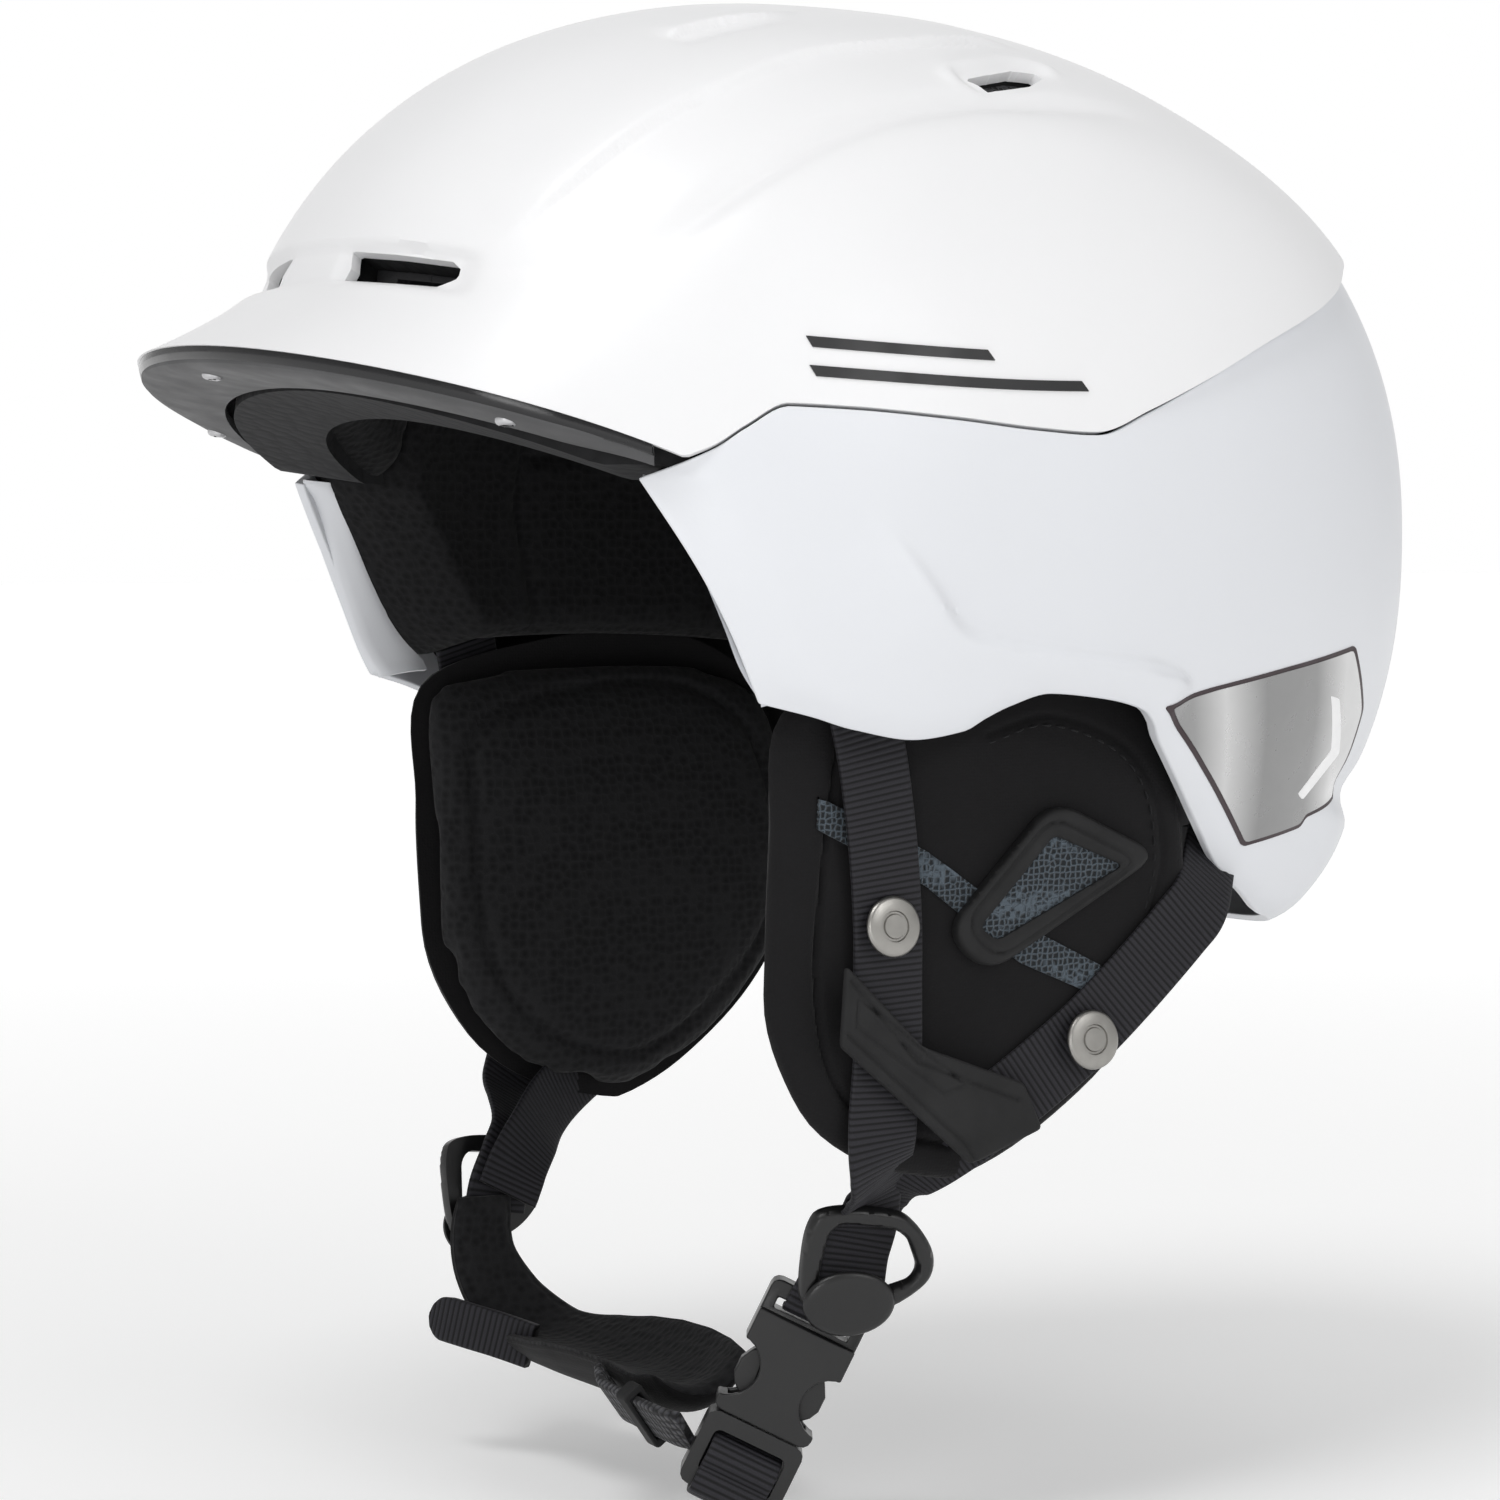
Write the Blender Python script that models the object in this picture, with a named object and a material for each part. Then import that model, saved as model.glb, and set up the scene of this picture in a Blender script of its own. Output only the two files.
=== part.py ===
"""Ski helmet: two-piece hard shell with a brim, foam liner, fit dial, ear pads and a buckled chin strap.

Frame: +Z up, the brim points along -Y, the wearer's left side is +X.
The origin is the middle of the crown pad's flat underside, where the helmet rests on a head.
"""
import bpy
import bmesh
import numpy as np
from math import atan2, cos, degrees, pi, radians, sin
from mathutils import Matrix, Vector

MM = 0.001

# ---- driving dimensions of the helmet's outer form (metres) ----
CENTER = np.array((0.0, 0.0, -82 * MM))
HALF_WIDTH = 106 * MM
FRONT_REACH = 116 * MM
REAR_REACH = 154 * MM
UP_REACH = 116 * MM
DOWN_REACH = 118 * MM
FULLNESS = 2.25

GAP = 0.3 * MM
SHELL = 2.5 * MM
FOAM_OUT = SHELL + 1 * MM
FOAM_IN = 24 * MM
PAD_OUT = FOAM_IN + 1.6 * MM
PAD_IN = 32 * MM

BRIM_REACH = 22.5 * MM
BRIM_TIP_Z = -41.6 * MM
BRIM_DROP = 0.0077 * MM
BRIM_END = 55.0
VENT_LINE = 27.0
LEDGE = 3.5 * MM
TAIL_FLARE = 9 * MM

# ---- outlines on the outer form: (degrees round from the front, degrees above the centre) ----
SEAM = [(55, 8.7), (58, 10), (61, 12), (65.6, 14.4), (72, 14.3), (84, 13.6), (96, 12.4), (103, 11.9),
        (110, 14), (118, 16.7), (128.5, 20), (145, 23.5), (151, 25), (165, 26.5), (180, 27)]
LOWER_TOP_FRONT = [(50, 6.7), (55, 8.2)]
BOTTOM = [(62.4, -16.7), (68.6, -18.3), (73, -19.7), (80.6, -21.1), (86.6, -20.3), (89, -19), (92, -17.6),
          (97, -16.2), (104, -16.6), (110, -17.6), (114, -21), (118, -24.5), (125, -29.8), (131, -33.7),
          (137, -36), (145, -38), (180, -38.5)]
FOAM_EDGE = [(46, 9), (50, 5.5), (54, 0), (57, -5), (61, -11), (66, -12), (134, -12), (139, -13),
             (143, -24), (150, -28), (155, -27), (160, -18), (180, -17)]
FRONT_VENT = [(8, 30.5), (27.5, 28.5), (26, 26), (9.5, 27.2)]
TOP_VENT = [(104, 55.6), (123, 56.4), (124, 53.8), (105, 53.0)]
BADGE = [(114, -17), (143, -10), (149, -22), (132, -30)]

# ---- ear pads: outline in the side view (Y, Z) ----
EAR_OUTLINE = [(-40, -120), (-41, -142), (-41, -165), (-40, -178), (-35, -190), (-27, -201), (-14, -209),
               (2, -213), (9, -213), (24, -206), (42, -192), (54, -176), (59, -158), (58, -144), (55, -131),
               (48, -119), (24, -112), (-10, -116)]
EAR_TOP_X = 88 * MM
EAR_LEAN = 10 * MM
EAR_CUSHION = 18 * MM
EAR_COVER = 3 * MM
RING_OUTLINE = [(23, -135), (49, -147), (9, -170), (-1, -161)]
RING_HOLE = [(24, -141.5), (40, -148.5), (10, -164.5), (6, -160.5)]
KEEPER_OUTLINE = [(-27, -167), (-27, -183), (6, -209), (22, -203), (17, -193), (-8, -185)]

# The buckle hangs on the left, so the right straps and divider are pulled this far forward.
RIGHT_PULL = 23 * MM
STRAP_WIDTH = 15.5 * MM
STRAP = 1.5 * MM
SNAP_RADIUS = 6.2 * MM
SNAP_LIFT = 5.3 * MM
FRONT_STRAP = [(-24, -113, 2.4), (-21, -125, 2.4), (-18, -142, 2.4), (-16, -158, 2.4), (-15, -172, 2.4),
               (-14, -186, 2.4), (-14, -198, 2.4), (-13.5, -206, 2.4), (-13, -212.5, 1.8), (-12, -218, -0.5)]
REAR_STRAP = [(62, -157, 1.8), (56, -163, 2.0), (45, -174, 2.2), (34, -184, 2.2),
              (22, -193, 2.2), (10, -201, 2.2), (3, -207, 2.2), (-1, -213, 1.8)]
STRAP_CROSSING = [(-30, -190), (-30, -240), (12, -240), (-5, -205), (-5, -190)]

# ---- strap divider: its own frame has X to the rear, Y up, Z out of its face ----
DIVIDER_CENTER = Vector((66 * MM, -9 * MM, -231 * MM))
DIVIDER_OUT = Vector((0.93, -0.28, -0.22)).normalized()
DIVIDER_OUTLINE = [(-12.8, -7.5), (-12.8, 2.9), (-11.6, 8.9), (-9.2, 11.5), (-2.6, 12.1), (6.9, 10.7),
                   (11.3, 7.6), (14.6, 2.6), (15.3, -1.9), (13.4, -5.8), (7, -10.1), (-2.1, -12.5),
                   (-9.3, -11.5)]
DIVIDER_HOLE = [(-9.6, -5.5), (-7.6, 6.5), (-5.2, 8.7), (6.2, 7.3), (9.4, 5), (12, -1.8), (10.6, -4.6),
                (3, -7), (-6, -7)]
DIVIDER_THICKNESS = 3.2 * MM
CAP_CENTER = (-2.9 * MM, -8.4 * MM)
CAP_HALF_WIDTH = 9.8 * MM
CAP_HALF_HEIGHT = 7.2 * MM

# ---- fit system at the nape ----
BAND_CENTER = np.array((0.0, 36 * MM))
BAND_RADIUS = 69 * MM
BAND = 1.6 * MM
DIAL_Z = -150 * MM
PINION_RADIUS = 2.6 * MM
DIAL_RADIUS = 14 * MM

# ---- buckle: its own frame has X across, Y along the strap towards the chin, Z out of its face ----
BUCKLE_TOP = Vector((54.8 * MM, -12 * MM, -240 * MM))
BUCKLE_ALONG = Vector((-0.213, -0.385, -0.898)).normalized()
BUCKLE_OUT = Vector((0.875, -0.485, 0.0))
BUCKLE_WIDTH = 22 * MM
BUCKLE_DEPTH = 8 * MM
BUCKLE_SPLIT = 30 * MM

MATERIALS = {
    "upper_white": ((0.86, 0.86, 0.86), 0.38, 0.0),
    "lower_white": ((0.78, 0.80, 0.83), 0.40, 0.0),
    "brim_grey": ((0.045, 0.046, 0.048), 0.62, 0.0),
    "foam_grey": ((0.11, 0.11, 0.115), 0.85, 0.0),
    "screw_steel": ((0.45, 0.45, 0.46), 0.35, 1.0),
    "vent_mesh": ((0.10, 0.10, 0.11), 0.7, 0.0),
    "badge_silver": ((0.50, 0.50, 0.51), 0.25, 0.9),
    "padding_black": ((0.012, 0.012, 0.013), 0.95, 0.0),
    "ear_cover_black": ((0.014, 0.014, 0.015), 0.85, 0.0),
    "spacer_mesh": ((0.05, 0.06, 0.08), 0.9, 0.0),
    "soft_rubber": ((0.03, 0.03, 0.032), 0.6, 0.0),
    "webbing": ((0.022, 0.022, 0.026), 0.8, 0.0),
    "snap_nickel": ((0.50, 0.49, 0.47), 0.28, 1.0),
    "acetal_black": ((0.012, 0.012, 0.013), 0.33, 0.0),
    "fit_plastic": ((0.03, 0.03, 0.033), 0.5, 0.0),
    "pin_steel": ((0.5, 0.5, 0.5), 0.3, 1.0),
}


def clear_scene():
    for obj in list(bpy.data.objects):
        bpy.data.objects.remove(obj, do_unlink=True)


def make_material(name):
    material = bpy.data.materials.new(name)
    material.use_nodes = True
    color, roughness, metallic = MATERIALS[name]
    shader = material.node_tree.nodes["Principled BSDF"]
    shader.inputs["Base Color"].default_value = (*color, 1.0)
    shader.inputs["Roughness"].default_value = roughness
    shader.inputs["Metallic"].default_value = metallic
    return material


def add_object(name, bm, material, smooth_angle=35):
    bmesh.ops.remove_doubles(bm, verts=bm.verts, dist=1e-6)
    bmesh.ops.recalc_face_normals(bm, faces=bm.faces)
    mesh = bpy.data.meshes.new(name)
    bm.to_mesh(mesh)
    bm.free()
    mesh.shade_smooth()
    mesh.set_sharp_from_angle(angle=radians(smooth_angle))
    obj = bpy.data.objects.new(name, mesh)
    bpy.context.scene.collection.objects.link(obj)
    if material:
        existing = bpy.data.materials.get(material)
        mesh.materials.append(existing or make_material(material))
    return obj


def set_origin(obj, point):
    """Move the object's origin to a point on its joint's axis without moving its shape."""
    point = Vector(point)
    obj.data.transform(Matrix.Translation(-point))
    obj.matrix_world = Matrix.Translation(point)


def cut(obj, *cutters):
    for cutter in cutters:
        cutter.hide_render = True
        cutter.display_type = "WIRE"
        modifier = obj.modifiers.new("cut_" + cutter.name, "BOOLEAN")
        modifier.object = cutter
        modifier.operation = "DIFFERENCE"
        modifier.solver = "EXACT"


# ---- the outer form ----
def plan_radius(theta):
    """Half-size of the outer form at its widest level, looking down, at theta degrees from the front."""
    reach = FRONT_REACH if abs(theta) < 90 else REAR_REACH
    side = abs(sin(radians(theta))) / HALF_WIDTH
    ahead = abs(cos(radians(theta))) / reach
    return (side ** FULLNESS + ahead ** FULLNESS) ** (-1 / FULLNESS)


def form_point(theta, phi, inset=0.0):
    """A point on the outer form, or inset below it, as an array."""
    reach = UP_REACH if phi > 0 else DOWN_REACH
    level = cos(radians(phi)) / plan_radius(theta)
    height = abs(sin(radians(phi))) / reach
    radius = (level ** FULLNESS + height ** FULLNESS) ** (-1 / FULLNESS) - inset
    direction = (sin(radians(theta)) * cos(radians(phi)), -cos(radians(theta)) * cos(radians(phi)),
                 sin(radians(phi)))
    return CENTER + radius * np.array(direction)


def phi_at_height(theta, z):
    height = z - CENTER[2]
    radius = plan_radius(theta) * (1 - (abs(height) / UP_REACH) ** FULLNESS) ** (1 / FULLNESS)
    return degrees(atan2(height, radius))


def along(table, x):
    return float(np.interp(x, [p[0] for p in table], [p[1] for p in table]))


def smooth(low, high, x):
    t = min(max((x - low) / (high - low), 0.0), 1.0)
    return t * t * (3 - 2 * t)


def brim_height(theta):
    return BRIM_TIP_Z - BRIM_DROP * theta * theta


def brim_flare(theta):
    return BRIM_REACH * max(cos(radians(1.5 * min(abs(theta), 60))), 0.0) ** 1.15


def upper_edge(theta):
    """Height angle of the upper shell's lower edge: the brim in front, the seam behind it."""
    if abs(theta) < BRIM_END:
        return phi_at_height(theta, brim_height(theta))
    return along(SEAM, abs(theta))


def outward(theta):
    return np.array((sin(radians(theta)), -cos(radians(theta)), 0.0))


def upper_point(theta, phi, inset=0.0):
    edge = upper_edge(theta)
    point = form_point(theta, phi, inset)
    if phi < VENT_LINE and abs(theta) < 60:
        point = point + outward(theta) * brim_flare(theta) * ((VENT_LINE - phi) / (VENT_LINE - edge)) ** 1.35
    proud = LEDGE * smooth(100, 140, abs(theta)) * smooth(edge + 22, edge, phi)
    return point + outward(theta) * proud


def lower_point(theta, phi, inset=0.0):
    flare = TAIL_FLARE * smooth(118, 150, abs(theta)) * smooth(-20, -38, phi)
    return form_point(theta, phi, inset) + outward(theta) * flare


# ---- solids from grids of points ----
def grid_solid(outer, inner, wrap=False):
    """A closed solid between two grids of the same size; wrap joins the last column to the first."""
    rows, columns = len(outer), len(outer[0])
    bm = bmesh.new()
    layers = [[[bm.verts.new(point) for point in row] for row in grid] for grid in (outer, inner)]
    last = columns if wrap else columns - 1
    for layer in layers:
        for i in range(rows - 1):
            for j in range(last):
                k = (j + 1) % columns
                bm.faces.new((layer[i][j], layer[i][k], layer[i + 1][k], layer[i + 1][j]))
    top, bottom = layers
    for i in (0, rows - 1):
        for j in range(last):
            k = (j + 1) % columns
            bm.faces.new((top[i][j], top[i][k], bottom[i][k], bottom[i][j]))
    if not wrap:
        for j in (0, columns - 1):
            for i in range(rows - 1):
                bm.faces.new((top[i][j], top[i + 1][j], bottom[i + 1][j], bottom[i][j]))
    return bm


def dome_solid(point_at, edge_at, steps, columns, inner_inset, outer_inset=0.0):
    """A dome from the top pole down to an edge; the pole's points merge into one."""
    thetas = [360 * j / columns - 180 for j in range(columns)]
    grids = []
    for inset in (outer_inset, inner_inset):
        rows = [[point_at(t, 90 - (90 - edge_at(t)) * s, inset) for t in thetas] for s in steps]
        grids.append(rows)
    bm = bmesh.new()
    layers = []
    for rows in grids:
        pole = bm.verts.new(rows[0][0])
        layers.append([pole, *[[bm.verts.new(point) for point in row] for row in rows[1:]]])
    for pole, first, *rest in layers:
        for j in range(columns):
            bm.faces.new((pole, first[j], first[(j + 1) % columns]))
        for above, below in zip([first, *rest[:-1]], rest):
            for j in range(columns):
                k = (j + 1) % columns
                bm.faces.new((above[j], above[k], below[k], below[j]))
    for j in range(columns):
        k = (j + 1) % columns
        bm.faces.new((layers[0][-1][j], layers[0][-1][k], layers[1][-1][k], layers[1][-1][j]))
    return bm


def patch_solid(corners, inset_out, inset_in, side, columns=8, rows=4, point_at=form_point):
    """A patch that follows the outer form between four corners given in order round its outline."""
    a, b, c, d = [np.array(corner, float) for corner in corners]
    grids = []
    for inset in (inset_out, inset_in):
        grid = []
        for i in range(rows + 1):
            left = a + (d - a) * i / rows
            right = b + (c - b) * i / rows
            row = [left + (right - left) * j / columns for j in range(columns + 1)]
            grid.append([point_at(side * theta, phi, inset) for theta, phi in row])
        grids.append(grid)
    return grid_solid(*grids)


# ---- solids from outlines and sections ----
def prism(outline, low, high, place=Matrix.Identity(4)):
    """Extrude an outline in X and Y from low to high along Z, then place it."""
    bm = bmesh.new()
    bottom = [bm.verts.new(place @ Vector((x, y, low))) for x, y in outline]
    top = [bm.verts.new(place @ Vector((x, y, high))) for x, y in outline]
    bm.faces.new(bottom)
    bm.faces.new(top)
    for j in range(len(outline)):
        k = (j + 1) % len(outline)
        bm.faces.new((bottom[j], bottom[k], top[k], top[j]))
    return bm


def box_outline(x0, x1, y0, y1):
    return [(x0, y0), (x1, y0), (x1, y1), (x0, y1)]


def round_outline(radius, x=0.0, y=0.0, sides=24):
    return [(x + radius * cos(2 * pi * k / sides), y + radius * sin(2 * pi * k / sides)) for k in range(sides)]


def rounded_box(x0, x1, y0, y1, radius, steps=3):
    corners = [(x1 - radius, y1 - radius, 0), (x0 + radius, y1 - radius, 90),
               (x0 + radius, y0 + radius, 180), (x1 - radius, y0 + radius, 270)]
    outline = []
    for x, y, start in corners:
        for k in range(steps + 1):
            angle = radians(start + 90 * k / steps)
            outline.append((x + radius * cos(angle), y + radius * sin(angle)))
    return outline


def ribbon(route, normals, width, thickness, cups=None):
    """A band along a route; each normal points out of its face, and width is one number or a list.

    Cups are how far the band's edges curl away from that face at each point of the route.
    """
    route = [Vector(p) for p in route]
    widths = width if isinstance(width, list) else [width] * len(route)
    shares = (1, 0.5, 0, -0.5, -1) if cups else (1, -1)
    grids = ([], [])
    for i, point in enumerate(route):
        tangent = (route[min(i + 1, len(route) - 1)] - route[max(i - 1, 0)]).normalized()
        out = Vector(normals[i]).normalized()
        across = tangent.cross(out).normalized()
        out = across.cross(tangent).normalized()
        cup = cups[i] if cups else 0.0
        for grid, lift in zip(grids, (thickness / 2, -thickness / 2)):
            half = across * widths[i] / 2
            grid.append([point + half * share + out * (lift - cup * share ** 2) for share in shares])
    return grid_solid(*grids)


# ---- shells and liner ----
def make_upper_shell():
    steps = (0, 0.08, 0.18, 0.3, 0.42, 0.54, 0.65, 0.75, 0.84, 0.9, 0.935, 0.97, 1.0)
    shell = add_object("upper_shell", dome_solid(upper_point, upper_edge, steps, 72, SHELL), "upper_white")
    cut(shell, *vent_cutters("shell", 0.0))
    return shell


def vent_cutters(name, margin):
    cutters = []
    for side, label in ((1, "left"), (-1, "right")):
        for kind, corners in (("front", FRONT_VENT), ("top", TOP_VENT)):
            bm = patch_solid(corners, -12 * MM - margin, 40 * MM + margin, side, columns=3, rows=1)
            cutters.append(add_object(f"{name}_{kind}_vent_{label}_cutter", bm, None))
    return cutters


def lower_theta(u, v):
    """Degrees round from the front; u runs from the face opening to the rear, v from top to bottom."""
    top, bottom = 50 + 130 * u, 62.4 + 117.6 * u
    return top + (bottom - top) * v + 1.2 * sin(pi * v) * (1 - u) ** 4


def lower_top(theta):
    return along(LOWER_TOP_FRONT, theta) if theta < 55 else along(SEAM, theta) - 0.6


def make_lower_shell():
    along_steps = [1 - abs(k) / 38 for k in range(-38, 39)]
    grids = []
    for inset in (0.0, SHELL):
        grid = []
        for i in range(8):
            v = i / 7
            row = []
            for k, u in enumerate(along_steps):
                theta = lower_theta(u, v)
                top, bottom = lower_top(50 + 130 * u), along(BOTTOM, 62.4 + 117.6 * u)
                side = 1 if k <= 38 else -1
                row.append(lower_point(side * theta, top + (bottom - top) * v, inset))
            grid.append(row)
        grids.append(grid)
    return add_object("lower_shell", grid_solid(*grids), "lower_white")


def foam_edge(theta):
    theta = abs(theta)
    if theta < FOAM_EDGE[0][0]:
        return phi_at_height(theta, brim_height(theta) - 8 * MM)
    return along(FOAM_EDGE, theta)


def make_foam():
    steps = (0, 0.08, 0.17, 0.27, 0.37, 0.47, 0.57, 0.66, 0.74, 0.82, 0.91, 1.0)
    bm = dome_solid(form_point, foam_edge, steps, 80, FOAM_IN, FOAM_OUT)
    foam = add_object("foam_liner", bm, "foam_grey")
    cut(foam, *vent_cutters("foam", 1 * MM))
    return foam


def make_brim_plate():
    """The dark plate under the brim: out to the shell's edge, in to an arc round the forehead."""
    top, bottom = [], []
    for j in range(25):
        theta = -49 + 98 * j / 24
        z = brim_height(theta)
        end = (abs(theta) / 49) ** 2
        edge = upper_point(theta, upper_edge(theta)) - outward(theta) * 0.5 * MM
        inner = form_point(theta, phi_at_height(theta, z - 7 * MM), 1.4 * MM)
        sheet = ([], [])
        for share in (0.0, 0.5, 1.0):
            spot = edge + (inner - edge) * share
            drop = 2.8 * MM + (3.2 - 1.0 * end) * MM * share
            sheet[0].append((spot[0], spot[1], z - drop))
            sheet[1].append((spot[0], spot[1], z - drop - (2.2 - 0.6 * end) * MM))
        top.append(sheet[0])
        bottom.append(sheet[1])
    return add_object("brim_plate", grid_solid(top, bottom), "brim_grey")


def make_brim_screws(plate):
    """Three pan-head screws in pockets of the plate."""
    for label, theta, share in (("center", 0, 0.35), ("left", 38, 0.45), ("right", -38, 0.45)):
        z = brim_height(theta)
        edge = upper_point(theta, upper_edge(theta)) - outward(theta) * 0.5 * MM
        inner = form_point(theta, phi_at_height(theta, z - 7 * MM), 1.4 * MM)
        spot = edge + (inner - edge) * share
        place = Matrix.Translation((spot[0], spot[1], z - 5 * MM - 3.0 * MM * share))
        pocket = prism(round_outline(2.5 * MM, sides=16), -4 * MM, 0.9 * MM, place)
        cut(plate, add_object(f"screw_pocket_{label}", pocket, None))
        head = prism(round_outline(2.2 * MM, sides=16), -0.5 * MM, 0.6 * MM, place)
        add_object(f"brim_screw_{label}", head, "screw_steel")


def make_vent_parts():
    for side, label in ((1, "left"), (-1, "right")):
        shrink = 0.5
        mesh = [(105, 55.6 - shrink), (122, 56.3 - shrink), (123, 53.9 + shrink), (106, 53.1 + shrink)]
        add_object(f"top_vent_mesh_{label}", patch_solid(mesh, 4 * MM, 5 * MM, side), "vent_mesh")
        grille = [(9, 30), (26.5, 28.1), (25.2, 26.4), (10.3, 27.6)]
        add_object(f"front_vent_grille_{label}", patch_solid(grille, 9 * MM, 11 * MM, side, rows=2),
                   "fit_plastic")
        bm = patch_solid(BADGE, -1.5 * MM, -0.6 * MM, side, columns=12, point_at=lower_point)
        add_object(f"badge_{label}", bm, "badge_silver")


# ---- padding ----
def make_crown_pad():
    """An oval pad whose top follows the foam and whose flat underside is the helmet's datum."""
    outer, inner = [], []
    for i in range(7):
        share = i / 6
        upper_row, lower_row = [], []
        for j in range(24):
            angle = 2 * pi * j / 24
            x, y = share * 30 * MM * cos(angle), share * 40 * MM * sin(angle)
            reach = FRONT_REACH if y < 0 else REAR_REACH
            level = ((abs(x) / (HALF_WIDTH - FOAM_IN)) ** FULLNESS
                     + (abs(y) / (reach - FOAM_IN)) ** FULLNESS)
            top = (UP_REACH - FOAM_IN) * (1 - level) ** (1 / FULLNESS) + CENTER[2]
            upper_row.append((x, y, top - 0.8 * MM))
            lower_row.append((x, y, 0.0))
        outer.append(upper_row)
        inner.append(lower_row)
    bm = grid_solid(outer[1:], inner[1:], wrap=True)
    for face in [f for f in bm.faces if all(v.co.xy.length < 7.5 * MM for v in f.verts)]:
        bm.faces.remove(face)
    ring_top = [v for v in bm.verts if abs(v.co.z) > 1e-6 and v.co.xy.length < 7.5 * MM]
    ring_low = [v for v in bm.verts if abs(v.co.z) < 1e-9 and v.co.xy.length < 7.5 * MM]
    for ring in (ring_top, ring_low):
        ring.sort(key=lambda v: atan2(v.co.y, v.co.x))
        bm.faces.new(ring)
    add_object("crown_pad", bm, "padding_black")


def make_pads():
    make_crown_pad()
    brow = [(-50, 33), (50, 33), (47, 12), (-47, 12)]
    add_object("brow_pad", patch_solid(brow, PAD_OUT, PAD_IN, 1, columns=20, rows=4), "padding_black")
    rear = [(142, 36), (218, 36), (218, 2), (142, 2)]
    add_object("rear_pad", patch_solid(rear, PAD_OUT, PAD_IN, 1, columns=14, rows=5), "padding_black")
    side_outline = [(60, 34), (128, 34), (128, -6), (64, -6)]
    for side, label in ((1, "left"), (-1, "right")):
        add_object(f"side_pad_{label}", patch_solid(side_outline, PAD_OUT, PAD_IN, side, columns=12, rows=5),
                   "padding_black")


# ---- ear pads and their straps ----
def ear_face(z):
    """X of the ear pad's outer face: upright at the top, leaning in towards the jaw."""
    drop = max(-120 * MM - z, 0.0) / (95 * MM)
    return EAR_TOP_X - EAR_LEAN * drop ** 1.5


def ear_slab(outline, low, high, side):
    """A slab that follows the ear pad's outer face, between two depths outwards of that face."""
    bm = bmesh.new()
    layers = []
    for depth in (low, high):
        points = [(side * (ear_face(z * MM) + depth), y * MM, z * MM) for y, z in outline]
        layers.append([bm.verts.new(p) for p in points])
    faces = [bm.faces.new(layer) for layer in layers]
    for j in range(len(outline)):
        k = (j + 1) % len(outline)
        bm.faces.new((layers[0][j], layers[0][k], layers[1][k], layers[1][j]))
    bmesh.ops.triangulate(bm, faces=faces)
    return bm


def strap_pull(side, z):
    """How far forward the right straps have been pulled at a height, in metres."""
    return RIGHT_PULL * smooth(-196 * MM, DIVIDER_CENTER.z, z) if side < 0 else 0.0


def strap_route(points, side):
    """Points given as Y, Z and the lift of the strap's middle off the ear pad's face, in millimetres."""
    return [(side * (ear_face(z * MM) + lift * MM), y * MM - strap_pull(side, z * MM), z * MM)
            for y, z, lift in points]


def make_ear(side, label):
    cover_low, cover_high = -EAR_COVER, -0.2 * MM
    cushion_high = cover_low - GAP
    add_object(f"ear_cushion_{label}",
               ear_slab(EAR_OUTLINE, cushion_high - EAR_CUSHION, cushion_high, side), "padding_black")
    add_object(f"ear_cover_{label}", ear_slab(EAR_OUTLINE, cover_low, cover_high, side), "ear_cover_black")

    ring = add_object(f"ear_vent_ring_{label}", ear_slab(RING_OUTLINE, 0.1 * MM, 2.6 * MM, side), "soft_rubber")
    hole = add_object(f"ring_hole_{label}", ear_slab(RING_HOLE, -2 * MM, 5 * MM, side), None)
    cut(ring, hole)
    middle = np.mean(RING_HOLE, axis=0)
    mesh_outline = [tuple(middle + (np.array(p) - middle) * 0.93) for p in RING_HOLE]
    add_object(f"ear_vent_mesh_{label}", ear_slab(mesh_outline, 0.1 * MM, 1.0 * MM, side), "spacer_mesh")
    add_object(f"strap_keeper_{label}", ear_slab(KEEPER_OUTLINE, 5.0 * MM, 6.5 * MM, side), "soft_rubber")

    out = [(side, 0, 0.12)] * len(FRONT_STRAP)
    front = ribbon(strap_route(FRONT_STRAP, side), out, STRAP_WIDTH, STRAP)
    add_object(f"front_strap_{label}", front, "webbing")
    out = [(side, 0, 0.12)] * len(REAR_STRAP)
    rear = add_object(f"rear_strap_{label}", ribbon(strap_route(REAR_STRAP, side), out, STRAP_WIDTH, STRAP),
                      "webbing")
    crossing = [(y - strap_pull(side, z * MM) / MM, z) for y, z in STRAP_CROSSING]
    passage = add_object(f"strap_crossing_{label}", ear_slab(crossing, -12 * MM, 12 * MM, side), None)
    cut(rear, passage)

    for spot, name in (((-16, -159), "front"), ((34, -185), "rear")):
        y, z = spot[0] * MM, spot[1] * MM
        turn = Matrix.Rotation(side * radians(84), 4, "Y")
        place = Matrix.Translation((side * (ear_face(z) + SNAP_LIFT), y, z)) @ turn
        add_object(f"snap_{name}_{label}", prism(round_outline(SNAP_RADIUS), -0.8 * MM, 0.8 * MM, place),
                   "snap_nickel")


def divider_frame(side):
    out = Vector((side * DIVIDER_OUT.x, DIVIDER_OUT.y, DIVIDER_OUT.z))
    rearward = side * Vector((0, 0, 1)).cross(out).normalized()
    up = side * out.cross(rearward)
    center = Vector((side * DIVIDER_CENTER.x, DIVIDER_CENTER.y, DIVIDER_CENTER.z))
    if side < 0:
        center.y -= RIGHT_PULL
    return Matrix.Translation(center) @ Matrix((rearward, up, out)).transposed().to_4x4()


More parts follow.
